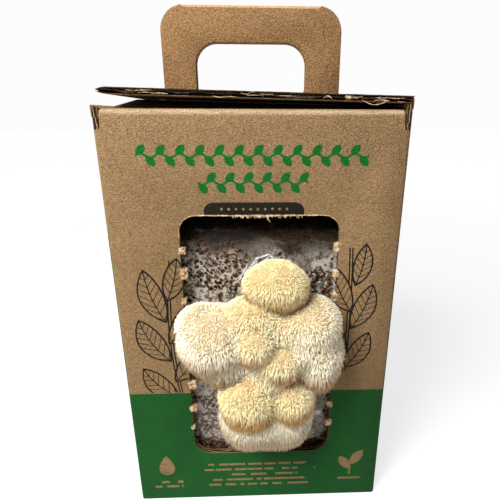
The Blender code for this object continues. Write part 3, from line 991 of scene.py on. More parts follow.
class KIT_OT_lid(bpy.types.Operator):
    """Builds the lid as real corrugated board: two liners, the waves between them, and torn fibres"""

    bl_idname = "kit.lid"
    bl_label = "Lid"
    bl_options = {"REGISTER", "UNDO"}

    # Measures from the hinge: along the lid, over it, to its front and back, and to the slot
    length = 186 * MM
    rise = 4.3 * MM
    lift = 0.15 * MM
    reach = 69.7 * MM
    slot_near = 31.5 * MM
    slot_far = 170.2 * MM
    slot_half_width = 6.2 * MM

    # How deep from the free end the layers are pressed together, and from the cuts the waves are torn
    pinch_depth = 7 * MM
    torn_depth = 2.2 * MM

    # The slivers that hang lowest at the front, in mm: place along the lid, span and sag
    long_wisps = ((-24, 16, -2.6), (-52, 5, 1.6))

    def execute(self, context):
        board = context.scene.kit_board
        foot, top = self.lift, self.lift + board.thickness
        lower = self.liner("lower_liner", foot, foot + board.liner, 3.1)
        upper = self.liner("upper_liner", top - board.liner, top, 8.4)
        waves = self.waves(foot + board.liner, top - board.liner, board)
        layers = lower, upper, waves
        for layer in layers:
            self.cut_slot(layer)
        # The shade of each cut edge is painted shade, darkest on the upper liner and the waves.
        dress(lower, kraft_paper("lid_underside", (0.85, 0.85, 0.85)), edge_paper("lower_edge", 0.42, 0.10))
        dress(upper, kraft_paper("lid_top"), edge_paper("upper_edge", 0.22, 0.0))
        for liner in (lower, upper):
            dress_faces(liner, 1, lambda face: abs(face.normal.z) < 0.6)
        dress(waves, edge_paper("wave_edge", 0.22, 0.09))
        for layer in layers:
            self.pinch_end(layer)
        wisps = self.wisps(foot, top)
        dress(wisps, torn_paper())
        lid = join("lid_board", [upper, lower, waves, wisps])
        lid.location = LID_HINGE
        lid.rotation_euler = (0.0, math.atan2(self.rise, self.length), 0.0)
        apply_place(lid)
        smooth(lid, 40)
        place_piece(lid, "lid", "kraft_board", "lid_flap")
        return {"FINISHED"}

    def pinch_end(self, layer):
        """Presses the layers together at the lid's free end, as the cutting knife did."""
        centre = self.lift + 2 * MM
        for vert in layer.data.vertices:
            near = max(0.0, 1.0 - (vert.co.x + self.length) / self.pinch_depth)
            vert.co.z = centre + (vert.co.z - centre) * (1.0 - 0.78 * near * near)

    def liner(self, name, low_z, high_z, seed):
        """A flat paper layer whose edges wander a little, as the cut crushed them."""
        liner = box_between(name, (-self.length, -self.reach, low_z), (-2 * self.lift, self.reach, high_z))
        with editing(liner, "FACE", lambda face: abs(face.normal.z) > 0.5):
            bpy.ops.mesh.inset(thickness=1.2 * MM)
        with editing(liner, "EDGE", lambda edge: runs_along(edge, 0)):
            bpy.ops.mesh.subdivide(number_cuts=90)
        edge_y = self.reach - 0.1 * MM
        for vert in liner.data.vertices:
            if abs(vert.co.y) > edge_y:
                shake = wobble((vert.co.x, 0.0, 0.0), 110.0, seed)
                fine = wobble((vert.co.x, 0.0, 0.0), 420.0, seed + 5.0)
                vert.co.y += (shake * 0.28 + fine * 0.18) * MM
                vert.co.z += (fine * 0.10 + shake * 0.12) * MM
        return liner

    def waves(self, low_z, high_z, board):
        """The wavy inner paper. Along the front and back cuts it is torn, and its height wanders."""
        paper_thickness = 0.22 * MM
        margin = 0.35 * MM
        rows_per_wave = 8
        rows = int(rows_per_wave * 2 * self.reach / board.flute_pitch)
        waves = sheet_between(
            "inner_waves", (-self.length + margin / 2, -self.reach + margin, 0.0),
            (-2 * self.lift - margin, self.reach - margin, 0.0), 110, rows,
        )
        centre = (low_z + high_z) / 2
        swing = (high_z - low_z) / 2 - paper_thickness * 0.7
        edge = self.reach - margin
        for vert in waves.data.vertices:
            wave = math.sin(math.tau * vert.co.y / board.flute_pitch)
            near = max(0.0, 1.0 - (edge - abs(vert.co.y)) / self.torn_depth)
            torn = wobble((vert.co.x, vert.co.y, 0.0), 95.0, 2.0) * 1.3 + wobble(vert.co, 380.0, 4.0) * 0.5
            wave = wave * (1.0 - near) + near * max(-1.0, min(1.0, torn))
            vert.co.z = centre + swing * wave
            vert.co.y += near * wobble(vert.co, 260.0, 9.0) * 0.5 * MM
        modify(waves, "SOLIDIFY", thickness=paper_thickness, offset=0.0, use_even_offset=True)
        return waves

    def cut_slot(self, layer):
        half, past = self.slot_half_width, 10 * MM
        slot = box_between("slot", (-self.slot_far, -half, -past), (-self.slot_near, half, past))
        bevel_edges(slot, lambda edge: runs_along(edge, 2), 3 * MM, 5)
        cut(layer, slot)

    def wisps(self, foot, top):
        """Slivers of paper that hang from the torn front edge."""
        draw = random.Random(11)
        strips = Strips()
        for _ in range(26):
            x = -self.length * draw.uniform(0.03, 0.88)
            span = draw.uniform(2.5, 11.0) * MM
            y = -self.reach - draw.uniform(0.0, 0.35) * MM
            start = draw.uniform(foot + 0.6 * MM, top - 0.5 * MM)
            sag = draw.uniform(-0.6, 0.5) * MM
            strips.ribbon(self.wisp_path(x, y, start, span, sag), draw.uniform(0.18, 0.42) * MM, 0.12 * MM)
        for x, span, sag in self.long_wisps:
            path = self.wisp_path(x * MM, -self.reach - 0.3 * MM, foot + 1.1 * MM, span * MM, sag * MM)
            strips.ribbon(path, 0.4 * MM, 0.12 * MM)
        return strips.piece("torn_wisps")

    def wisp_path(self, x, y, z, span, sag, steps=8):
        path = []
        for step in range(steps + 1):
            share = step / steps
            belly = math.sin(math.pi * share)
            path.append(Vector((x + (share - 0.5) * span, y - belly * 0.25 * MM, z + sag * belly)))
        return path


class KIT_OT_lid_fold(bpy.types.Operator):
    """Builds the outer paper that bends from the right wall over the lid's hinge"""

    bl_idname = "kit.lid_fold"
    bl_label = "Lid fold"
    bl_options = {"REGISTER", "UNDO"}

    def execute(self, context):
        radius = 2.2 * MM
        top = LID_HINGE.z + 4.15 * MM
        profile = [(SIDE, RIGHT_TOP - 3.0 * MM), (SIDE, RIGHT_TOP), (SIDE, top - radius)]
        steps = 8
        for step in range(1, steps + 1):
            angle = math.pi / 2 * step / steps
            short_x, short_z = radius * (1.0 - math.cos(angle)), radius * (1.0 - math.sin(angle))
            profile.append((SIDE - short_x, top - short_z))
        profile.append((SIDE - 5.0 * MM, top + TOUCH))
        columns = 60
        reach = 69.3 * MM
        rows = [-reach + 2 * reach * column / columns for column in range(columns + 1)]
        points = [(x, y, z) for y in rows for x, z in profile]
        depth = len(profile)
        corners = [column * depth + row for column in range(columns) for row in range(depth - 1)]
        faces = [(corner, corner + depth, corner + depth + 1, corner + 1) for corner in corners]
        fold = mesh_piece("lid_fold", points, faces)
        modify(fold, "SOLIDIFY", thickness=0.3 * MM, offset=-1.0)
        dress(fold, kraft_paper("kraft_fold"))
        smooth(fold, 60)
        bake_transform(fold)
        return {"FINISHED"}


class KIT_OT_handle(bpy.types.Operator):
    """Builds the handle: two plies folded over at the top, with the finger opening"""

    bl_idname = "kit.handle"
    bl_label = "Handle"
    bl_options = {"REGISTER", "UNDO"}

    corner_radius = 17 * MM
    fold_radius = 2.6 * MM
    rim_radius = 0.45 * MM
    fold_depth = 4 * MM
    gap_between_plies = 0.5 * MM
    grip_left, grip_right = -42.3 * MM, 36.5 * MM
    grip_floor, grip_top = 311.5 * MM, 345.5 * MM
    grip_upper_radius, grip_lower_radius = 15 * MM, 4 * MM

    def execute(self, context):
        low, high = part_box("handle")
        handle = box_between("folded_handle", low, high)

        def is_corner(edge):
            return runs_along(edge, 1) and middle(edge).z > high.z - 2 * TOUCH

        def is_fold(edge):
            return runs_along(edge, 0) and middle(edge).z > high.z - 2 * TOUCH

        def is_rim(edge):
            on_face = all(abs(abs(vert.co.y) - high.y) < TOUCH for vert in edge.verts)
            return on_face and edge.calc_face_angle(0.0) > math.radians(60)

        bevel_edges(handle, is_corner, self.corner_radius, 18)
        grip_low = self.grip_left, low.y - PAST, self.grip_floor
        grip = box_between("grip", grip_low, (self.grip_right, high.y + PAST, self.grip_top))
        round_corners(grip, self.grip_upper_radius, self.grip_lower_radius)
        cut(handle, grip)
        bevel_edges(handle, is_fold, self.fold_radius, 5)
        bevel_edges(handle, is_rim, self.rim_radius, 2)
        gap = self.gap_between_plies / 2
        gap_top = high.z - self.fold_depth
        cut_box(handle, (low.x - PAST, -gap, low.z - PAST), (high.x + PAST, gap, gap_top))
        dress(
            handle, kraft_paper("kraft_handle", (0.97, 0.87, 0.81)), cut_board("ply_edge", 1, -2.2 * MM),
            kraft_paper("handle_fold", (1.9, 1.8, 1.7)),
        )
        dress_faces(handle, 1, lambda face: abs(face.normal.y) < 0.3 and face.center.z < high.z - 0.5 * MM)
        # Painted highlight: upward faces of the top fold and the opening's upper edge get kraft made almost
        # twice as light.
        dress_faces(handle, 2, lambda face: face.normal.z > 0.3 and face.center.z > high.z - 1.6 * MM)
        dress_faces(handle, 2, lambda face: face.material_index == 1 and self.in_grip_top(face.center))
        smooth(handle)
        place_piece(handle, "carton", "kraft_board", "handle")
        return {"FINISHED"}

    def in_grip_top(self, place):
        """Whether a place is on the finger opening's upper edge, which gets the painted highlight."""
        across = self.grip_left + 0.8 * MM < place.x < self.grip_right - 0.8 * MM
        return across and self.grip_top - 17.5 * MM < place.z < self.grip_top + 4.5 * MM


class KIT_OT_tears(bpy.types.Operator):
    """Adds the torn nibs at the window's sides and the fringe of fibres along its upper edge"""

    bl_idname = "kit.tears"
    bl_label = "Torn edges"
    bl_options = {"REGISTER", "UNDO"}

    # Nibs in mm: height of the middle, height of the nib and reach
    left_nibs = (
        (212.5, 5.0, 3.3), (196.5, 8.5, 4.0), (176.0, 6.0, 2.0), (108.5, 7.0, 4.6), (88.0, 5.8, 3.6),
        (71.0, 4.0, 1.4),
    )
    right_nibs = (
        (214.0, 6.5, 3.3), (195.0, 5.8, 3.0), (178.0, 6.0, 2.9), (89.5, 6.8, 2.5), (72.5, 6.8, 3.3),
    )

    def execute(self, context):
        torn = torn_paper()
        nibs = []
        for edge, way, rows in ((WINDOW_LEFT, 1, self.left_nibs), (WINDOW_RIGHT, -1, self.right_nibs)):
            for number, (height, tall, reach) in enumerate(rows):
                nibs.append(self.nib(edge, way, height * MM, tall * MM, reach * MM, number + 10 * way))
        stubs = join("torn_nibs", nibs)
        smooth(stubs, 50)
        for piece in (stubs, self.fringe()):
            dress(piece, torn)
            place_piece(piece, "carton", "kraft_board", "front_wall")
        return {"FINISHED"}

    def nib(self, edge, way, height, tall, reach, seed):
        """One stub of board that was left when the window was torn out: ragged at its free side."""
        root = edge - way * 1.9 * MM
        tip = edge + way * reach
        low_x, high_x = sorted((root, tip))
        low = low_x, FRONT - 0.2 * MM, height - tall / 2
        nib = box_between("nib", low, (high_x, FRONT + 3.4 * MM, height + tall / 2))
        with editing(nib, "FACE", lambda face: True):
            bpy.ops.mesh.subdivide(number_cuts=13)
        for vert in nib.data.vertices:
            share = (vert.co.x - root) / (tip - root)
            up = (vert.co.z - height) / (tall / 2)
            rough = wobble(vert.co, 420.0, seed) * 0.9 + wobble(vert.co, 1100.0, seed + 3.0) * 0.6
            at_root = max(0.0, 1.0 - share * 3.0)
            outward = max(0.0, rough + 0.2) * at_root * 1.6 - max(0.0, rough + 0.15) * share * 1.3
            vert.co.x += way * outward * MM
            vert.co.z -= up * abs(up) * (at_root * 0.25 + share * 0.22) * tall / 2
            vert.co.z += wobble(vert.co, 500.0, seed + 7.0) * 0.8 * MM
            vert.co.y += max(-0.25, wobble(vert.co, 620.0, seed + 1.0)) * (0.15 + share) * 0.9 * MM
        return nib

    def fringe(self):
        """A ragged pale lip along the window's upper edge, fibres that hang from it, and one that curls."""
        draw = random.Random(5)
        strips = Strips()
        self.lip(strips)
        for _ in range(46):
            x = draw.uniform(-14.0, 31.0) * MM
            hang = draw.uniform(0.8, 1.9) * MM
            lean = draw.uniform(-1.6, 1.6) * MM
            y = FRONT - draw.uniform(0.1, 0.5) * MM
            start = Vector((x, y, WINDOW_TOP + 0.3 * MM))
            end = Vector((x + lean, y - draw.uniform(0.0, 0.5) * MM, WINDOW_TOP - hang))
            half_way = (start + end) / 2 + Vector((lean * 0.3, 0.0, 0.0))
            strips.ribbon([start, half_way, end], draw.uniform(0.25, 0.8) * MM, 0.15 * MM)
        curl = []
        for step in range(10):
            share = step / 9
            x = 9.2 * MM - 1.4 * MM * math.sin(math.radians(200) * share)
            y = FRONT - (0.3 + 1.2 * share) * MM
            curl.append(Vector((x, y, WINDOW_TOP + (0.2 - 4.2 * share) * MM)))
        strips.ribbon(curl, 0.7 * MM, 0.15 * MM)
        return strips.piece("window_fringe")

    def rim(self):
        """Points along the window's rounded upper edge from left to right, each with its way inwards."""
        radius = WINDOW_TOP_RADIUS
        ends = []
        for side, sign in ((WINDOW_LEFT + radius, -1), (WINDOW_RIGHT - radius, 1)):
            corner = []
            for step in range(40):
                angle = math.pi / 2 * step / 39
                way = Vector((sign * math.cos(angle), math.sin(angle)))
                corner.append((Vector((side, WINDOW_TOP - radius)) + way * radius, -way))
            foot, inwards = corner[0]
            down = [(foot - Vector((0.0, 0.3 * MM * step)), inwards) for step in range(12, 0, -1)]
            ends.append(down + corner)
        left, right = ends
        first, last = left[-1][0].x, right[-1][0].x
        level = [Vector((first + (last - first) * step / 240, WINDOW_TOP)) for step in range(1, 240)]
        return left + [(place, Vector((0.0, -1.0))) for place in level] + right[::-1]

    def lip(self, strips):
        """The torn edge of the outer paper, standing a little off the wall."""
        for place, inwards in self.rim():
            spot = Vector((place.x, 0.0, place.y))
            ragged = 0.5 + 0.5 * wobble(spot, 300.0, 2.0) + 0.5 * wobble(spot, 900.0, 5.0)
            busy = max(0.0, 1.0 - abs(place.x - 9 * MM) / (26 * MM))
            level = 0.35 + 0.65 * abs(inwards.y) ** 6
            outer = place - inwards * (0.45 + 0.35 * wobble(spot, 420.0, 9.0)) * level * MM
            inner = place + inwards * (0.05 + max(0.0, ragged) * (0.35 + 0.75 * busy)) * level * MM
            lift = (0.22 + 0.2 * wobble(spot, 350.0, 7.0)) * MM
            ring = (outer, -0.04 * MM), (inner, -lift), (inner, 0.25 * MM - lift), (outer, 0.3 * MM)
            strips.points.extend(Vector((point.x, FRONT + y, point.y)) for point, y in ring)
        strips.close(0, (0, 3, 2, 1))


def soft_block(name, space, cuts):
    """A rounded box round the block with some space between, and its large faces cut up finely."""
    low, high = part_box("substrate_block")
    block = box_between(name, low - space, high + space)
    bevel_edges(block, lambda edge: True, BLOCK_ROUNDING, 8)
    large = 800 * MM * MM
    with editing(block, "FACE", lambda face: face.calc_area() > large):
        bpy.ops.mesh.subdivide(number_cuts=cuts)
    return block


def slump(place):
    """The block's upper front edge has sunk back from the window."""
    if place.y < 0.0 and place.z > 198 * MM:
        share = min(1.0, (place.z - 198 * MM) / (34 * MM))
        place.y += 9 * MM * share * share * min(1.0, place.y / (-20 * MM))


# Places on the block's front, in mm: centre (x, z), half width, half height and strength
DENSE_SPOTS = (
    (-26, 200, 27, 22, 1.0), (44, 186, 13, 9, 1.1), (37, 214, 14, 12, 0.75), (21, 218, 9, 9, 1.2),
    (-34, 76, 13, 16, 0.95),
)
BARE_SPOTS = ((33, 201, 9, 14, 1.0), (3, 208, 12, 8, 1.0), (-42, 108, 11, 14, 0.8))
# The shaded spot and the shaded valley are painted shade, low on the right and in the dark top.
SHADED_SPOT = (47, 84, 17, 46, 0.8)
SHADED_VALLEY = (21, 219, 9, 13, 0.85)


def soft_spot(x, z, centre_x, centre_z, half_x, half_z, strength):
    """The strength in the middle of an oval on the block's front, falling smoothly to 0 past its edge."""
    across = (x - centre_x * MM) / (half_x * MM)
    up = (z - centre_z * MM) / (half_z * MM)
    return (across * across + up * up).step(1.25, 0.45) * strength


# Three sizes of grains: width in usual grains, length over width, lean, and share of the places they take
GRAINS = ((1.25, 1.4, 0.8, 0.90), (0.85, 1.6, -0.7, 0.85), (0.55, 1.3, 1.6, 0.4))


def sawdust_grains(finish, place, amount):
    """Masks of the grains and of their dark middles."""
    usual = bpy.context.scene.kit_block.grain
    stir = finish.noise(place, 520.0, 3.0, 0.7).other("Color")
    wavy = finish.add(
        "ShaderNodeVectorMath", {"operation": "MULTIPLY_ADD"}, {0: stir, 1: (2.6 * MM,) * 3, 2: place}
    )
    grains, cores = [], []
    for size, length, lean, share in GRAINS:
        sizes = (size * usual, size * usual, length * size * usual)
        cells = finish.cells(finish.slanted(wavy, sizes, (0.0, lean, 0.0)), 1.0)
        pick = cells.other("Color").red() < amount * share
        grains.append(cells.step(0.54, 0.44) * pick)
        cores.append(cells.step(0.42, 0.24) * pick)
    return highest(grains), highest(cores)


def grown_sawdust():
    """Sawdust bound by mycelium: white and grey threads with brown and nearly black grains, and painted
    shade and shadow at the top and lower down.
    """
    look = bpy.context.scene.kit_block
    finish = Finish("grown_sawdust")
    place = finish.place()
    x, _, z = finish.parts(place)
    cloud = finish.noise(place, 48.0, 4.0, 0.6)
    threads = finish.noise(place, 330.0, 5.0, 0.7)
    warp = (cloud - 0.5) * (34 * MM)
    x, z = x + warp, z - warp * 0.7

    low_dense = z.step(86 * MM, 62 * MM) * 1.2
    dense = highest([soft_spot(x, z, *spot) for spot in DENSE_SPOTS] + [low_dense])
    bare = highest([soft_spot(x, z, *spot) for spot in BARE_SPOTS])
    amount = (dense * 0.56 + (cloud - 0.5) * 0.8 + 0.08 - bare * 0.6).higher(0.0)
    grains, cores = sawdust_grains(finish, place, amount)

    thick = (threads + (cloud - 0.5) * 0.2).step(0.41, 0.57)
    white = finish.mix(thick, look.damp_and_shade, look.mycelium)
    # Painted shade: the white turns grey towards the top under the window's upper edge, a little below
    # about 150 mm, and in the shaded spot.
    shade = z.step(184 * MM, 220 * MM).higher(z.step(150 * MM, 118 * MM) * 0.48) * 0.92
    white = finish.mix(highest((bare * 0.75, shade, soft_spot(x, z, *SHADED_SPOT))), white, look.damp_and_shade)

    ragged = threads - 0.5
    # Painted shadow at the top and in the shaded valley, partly dark uncolonised sawdust; the grains there
    # darken too.
    high = (z + ragged * (30 * MM)).step(206 * MM, 220 * MM).higher(soft_spot(x, z, *SHADED_VALLEY))
    soil_and_shadow = finish.mix(threads.step(0.45, 0.75), look.char, scaled(look.sawdust, 0.45))
    white = finish.mix(high * 0.97, white, soil_and_shadow)
    low = (z + ragged * (210 * MM)).step(64 * MM, 50 * MM) * 0.85
    white = finish.mix(low, white, scaled(look.sawdust, 0.6))

    bark = finish.mix(cores, look.sawdust, look.char)
    colour = finish.mix(grains, white, finish.mix(high * 0.5, bark, look.char))
    bump = finish.bump(threads * 0.7 + grains * 0.5 + cloud * 0.6, 0.9 * MM, 0.8)
    rough = 0.68 - grains * 0.15
    return finish.wear(Base_Color=colour, Roughness=rough, Specular_IOR_Level=0.12, Normal=bump)


class KIT_OT_block(bpy.types.Operator):
    """Builds the sawdust block, lumpy and bound by mycelium"""

    bl_idname = "kit.block"
    bl_label = "Sawdust block"
    bl_options = {"REGISTER", "UNDO"}

    def execute(self, context):
        block = soft_block("grown_block", Vector(), 40)
        for vert, way in with_normals(block):
            lump = 0.5 + 0.5 * wobble(vert.co, 42.0, 3.0)
            small = 0.5 + 0.5 * wobble(vert.co, 150.0, 8.0)
            vert.co -= way * (lump * 1.5 + small * 0.7) * MM
            slump(vert.co)
        dress(block, grown_sawdust())
        smooth(block, 70)
        place_piece(block, "carton", "grown_sawdust", "substrate_block")
        return {"FINISHED"}


def clear_film(name, haze):
    """Clear film: see-through, with a gloss that grows at a slant and on its fine wrinkles, a painted sheen
    on its long wrinkles' ridges, and painted shade that fades the gloss near the window's top.
    """
    finish = Finish(name)
    place = finish.place()
    slanted = finish.stretched(place, (70.0, 70.0, 160.0), (0.0, 0.5, 0.0))
    long_wrinkles = finish.noise(slanted, 1.0, 2.0, 0.4)
    slanted = finish.stretched(place, (260.0, 260.0, 180.0), (0.0, -0.6, 0.0))
    fine_wrinkles = finish.noise(slanted, 1.0, 2.0)
    relief = finish.bump(long_wrinkles + fine_wrinkles * 0.25, 1.4 * MM, 0.55)
    finish.wear(Base_Color=(0.92, 0.87, 0.81), Metallic=1.0, Roughness=0.16, Normal=relief)

    slant = finish.add("ShaderNodeLayerWeight", sockets={"Blend": 0.28}, output="Fresnel")
    # Painted shade fades the gloss near the window's top, where the film lies in shadow; the ridges get a
    # painted sheen.
    lit = finish.parts(place)[2].step(238 * MM, 196 * MM)
    ridges = abs(long_wrinkles - 0.5).step(0.045, 0.0)
    factor = (slant * lit * 0.22 + ridges * 0.02 + haze).lower(1.0)
    clear = finish.add("ShaderNodeBsdfTransparent")
    gloss = Wire(finish, finish.shader.outputs[0])
    mixed = finish.add("ShaderNodeMixShader", sockets={0: factor, 1: clear, 2: gloss})
    finish.feed(finish.tree.nodes["Material Output"].inputs["Surface"], mixed)
    return finish.material


def stressed_film():
    """White film along the creases: painted glints, partly the whitening of sharply creased film."""
    finish = Finish("stressed_film")
    alpha = finish.noise(finish.place(), 520.0, 2.0).step(0.25, 0.7) * 0.65 + 0.2
    return finish.wear(Base_Color=(0.92, 0.92, 0.90), Roughness=0.22, Specular_IOR_Level=0.7, Alpha=alpha)


class KIT_OT_bag(bpy.types.Operator):
    """Builds the film bag: a wrinkled shell with a ragged opening, its creases and its folded neck"""

    bl_idname = "kit.bag"
    bl_label = "Film bag"
    bl_options = {"REGISTER", "UNDO"}

    opening = Vector((3.0 * MM, 0.0, 143.0 * MM))
    opening_half = (21.0 * MM, 28.0 * MM)

    # The folded neck: its layers, and how far each of them is over the last and inside it
    neck_layers = 5
    layer_rise = 1.35 * MM
    layer_inset = 1.1 * MM
    neck_left, neck_right = -70 * MM, 70 * MM
    neck_front, neck_back = -41 * MM, -1.5 * MM

    # Creases on the front, most of them above the fruit body: their strength, and their points (x, z) in mm
    creases = (
        (1.0, (
            (-14.6, 189.4), (-11.3, 192.2), (-8.0, 194.2), (-3.6, 199.3), (0.8, 204.8), (8.2, 207.4),
            (12.6, 204.2),
        )),
        (0.7, ((-15.5, 186.5), (-11.6, 189.0), (-9.4, 193.6), (-7.4, 197.0), (-5.2, 200.6))),
        (0.5, ((-4.0, 196.0), (-1.2, 199.0), (1.4, 203.8))),
        (0.6, ((1.5, 199.0), (6.0, 203.6), (10.2, 206.6))),
        (0.5, ((3.4, 198.6), (8.0, 202.0), (11.6, 205.2))),
        (0.6, ((20.0, 204.2), (22.3, 202.4), (25.0, 203.4))),
        (0.45, ((12.6, 204.2), (17.5, 203.4), (21.5, 199.0), (24.6, 193.0))),
    )

    def execute(self, context):
        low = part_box("substrate_block")[0]
        bag = soft_block("film_bag", Vector((0.55 * MM, 0.55 * MM, 0.45 * MM)), 60)
        for vert, way in with_normals(bag):
            fold = abs(wobble((vert.co.x, vert.co.y * 0.6, vert.co.z * 0.45), 55.0, 12.0))
            slack = max(0.0, 0.16 - fold) / 0.16
            vert.co += way * (slack * 0.9 + 0.15 * wobble(vert.co, 120.0, 1.0)) * MM
            vert.co.z = max(vert.co.z, low.z - 0.5 * MM)
        self.cut_opening(bag, low)
        modify(bag, "SOLIDIFY", thickness=context.scene.kit_block.film, offset=1.0)
        dress(bag, clear_film("clear_film", 0.0))
        creases = self.crease_ridges(low.y - 0.6 * MM)
        dress(creases, stressed_film())
        neck = self.neck()
        dress(neck, clear_film("folded_film", 0.22))
        shell = join("film_bag", [bag, creases, neck])
        smooth(shell, 60)
        place_piece(shell, "carton", "clear_film", "grow_bag")
        return {"FINISHED"}

    def cut_opening(self, bag, low):
        """The oval cut through which the fruit body grew, with an uneven edge."""
        settle()
        bpy.ops.mesh.primitive_cylinder_add(
            vertices=72, radius=1.0, depth=1.0, location=(self.opening.x, low.y, self.opening.z),
            rotation=(math.pi / 2, 0.0, 0.0),
        )
        cutter = named("opening")
        cutter.scale = (self.opening_half[0], self.opening_half[1], 12 * MM)
        apply_place(cutter)
        for vert in cutter.data.vertices:
            away = Vector((vert.co.x - self.opening.x, 0.0, vert.co.z - self.opening.z))
            vert.co += away * 0.06 * wobble(away, 120.0, 2.0)
        cut(bag, cutter)

    def crease_ridges(self, plane):
        """Sharp folds that stand up from the film."""
        strips = Strips()
        for strength, places in self.creases:
            path = []
            for start, end in zip(places, places[1:]):
                for step in range(6):
                    x, z = Vector(start).lerp(Vector(end), step / 6)
                    jog = wobble((x, 0.0, z), 0.55, 4.0) * 0.55
                    path.append(Vector(((x + jog) * MM, plane - 0.25 * MM, (z - jog) * MM)))
            strips.ribbon(path, (0.45 + 0.75 * strength) * MM, 0.3 * MM)
        return strips.piece("creases")

    def neck(self):
        """The bag's upper end, pressed flat and folded over itself on top of the block."""
        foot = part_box("substrate_block")[1].z + 0.9 * MM
        layers = []
        for number in range(self.neck_layers):
            height = foot + number * self.layer_rise
            inset = number * self.layer_inset
            low = self.neck_left + inset, self.neck_front + inset, height
            high = self.neck_right - inset, self.neck_back - inset, height
            sheet = sheet_between("fold", low, high, 70, 22)
            for vert in sheet.data.vertices:
                wave = wobble((vert.co.x, vert.co.y * 2.2, 0.0), 60.0, number * 3.0)
                fine = wobble(vert.co, 190.0, number + 5.0)
                vert.co.z += (wave * 0.5 + fine * 0.16) * MM
            modify(sheet, "SOLIDIFY", thickness=0.12 * MM, offset=0.0)
            layers.append(sheet)
        return join("neck", layers)


# A rounded part of the fruit body: centre, half sizes, yellowness, and its teeth's length over the usual
Lobe = namedtuple("Lobe", "name centre half golden length")

# The lobes in mm, with the centre's y from the carton's front
LOBES_IN_MM = (
    ("crown", (12.8, -16.5, 196.0), (19.8, 16.5, 13.5), 0.85, 0.75),
    ("left", (-26.3, -19.5, 159.8), (22.8, 22.5, 19.8), 0.08, 0.95),
    ("left", (-35.0, -16.0, 167.0), (15.0, 15.0, 13.5), 0.08, 0.90),
    ("left", (-20.0, -18.0, 146.5), (18.0, 19.0, 14.5), 0.12, 1.10),
    ("middle", (-1.0, -19.0, 174.0), (20.0, 16.0, 12.5), 0.72, 0.85),
    ("middle", (-1.0, -30.5, 162.0), (12.5, 12.5, 11.0), 0.66, 0.85),
    ("right", (34.2, -17.0, 168.0), (19.2, 20.0, 17.5), 0.30, 0.95),
    ("right", (39.0, -16.5, 147.0), (15.8, 19.5, 22.5), 0.12, 1.15),
    ("middle", (14.0, -29.5, 149.0), (13.0, 12.5, 11.0), 0.62, 0.85),
    ("low", (-5.5, -29.0, 121.0), (17.6, 17.0, 18.0), 0.90, 0.90),
    ("low", (22.4, -26.5, 119.5), (14.2, 13.8, 16.0), 0.78, 0.90),
    ("low", (10.0, -24.0, 120.0), (12.5, 14.0, 14.0), 0.84, 0.90),
    ("right", (31.0, -19.0, 157.0), (16.0, 17.5, 15.0), 0.24, 1.05),
    ("skirt", (6.0, -18.0, 101.5), (28.3, 19.0, 20.5), 0.16, 1.35),
    ("skirt", (-5.0, -18.5, 99.5), (18.5, 18.0, 18.5), 0.16, 1.35),
    ("skirt", (17.5, -18.5, 99.5), (17.5, 17.5, 18.0), 0.16, 1.35),
    ("middle", (4.0, -14.0, 148.0), (33.0, 20.5, 36.0), 0.40, 1.00),
    ("middle", (17.0, -19.0, 168.0), (16.0, 14.5, 12.0), 0.62, 0.90),
    ("middle", (6.0, -24.0, 137.0), (16.0, 14.0, 12.0), 0.60, 0.90),
    ("root", (3.0, -4.0, 143.0), (20.0, 16.0, 27.0), 0.40, 0.60),
)
LOBES = [
    Lobe(name, Vector(centre) * MM + Vector((0.0, FRONT, 0.0)), Vector(half) * MM, golden, length)
    for name, centre, half, golden, length in LOBES_IN_MM
]


def fruit_flesh():
    """Soft body under the teeth, seen in the gaps between them."""
    root = bpy.context.scene.kit_fruit.root
    finish = Finish("fruit_flesh")
    mottle = finish.noise(finish.place(), 420.0, 4.0, 0.65)
    colour = finish.mix(mottle.step(0.3, 0.7), scaled(root, 0.55), root)
    bump = finish.bump(mottle, 0.6 * MM)
    return finish.wear(Base_Color=colour, Roughness=0.8, Specular_IOR_Level=0.2, Normal=bump)


# What each point of a tooth carries: how far along it is, its yellowness, its own shade, and its painted
# shade, which grows where it is turned under, faces aside, sits low or is sunken
TOOTH_ATTRIBUTES = ("reach", "golden", "variety", "under")


def fruit_teeth():
    """Teeth: brown-orange at the foot, cream or golden at the tip, no two quite alike, darker with painted
    shade where turned under or sunken.
    """
    look = bpy.context.scene.kit_fruit
    finish = Finish("fruit_teeth")
    reach, golden, variety, under = (
        finish.add("ShaderNodeAttribute", {"attribute_name": label}, output="Fac")
        for label in TOOTH_ATTRIBUTES
    )
    tip = finish.mix(golden, look.cream, look.golden)
    tip = finish.mix(variety.step(0.5, 1.0) * 0.35, tip, finish.tint(tip, (0.90, 0.81, 0.64)))
    shade = finish.mix(golden, (0.45, 0.305, 0.18), (0.59, 0.39, 0.25))
    tip = finish.mix(under, tip, finish.tint(tip, shade))
    root = finish.mix(under, look.root, scaled(look.root, 0.6))
    colour = finish.mix(reach.step(-0.02, 0.42), root, tip)
    return finish.wear(
        Base_Color=colour, Roughness=0.55, Specular_IOR_Level=0.3,
        Subsurface_Weight=0.12, Subsurface_Scale=0.0015,
    )


def read_vectors(things, name, kind=float):
    """One property of all vertices or triangles of a mesh, three numbers to a row."""
    values = np.empty(len(things) * 3, dtype=kind)
    things.foreach_get(name, values)
    return values.reshape(-1, 3)


def unit(ways):
    """Rows of an array made one long."""
    return ways / np.linalg.norm(ways, axis=1)[:, None]


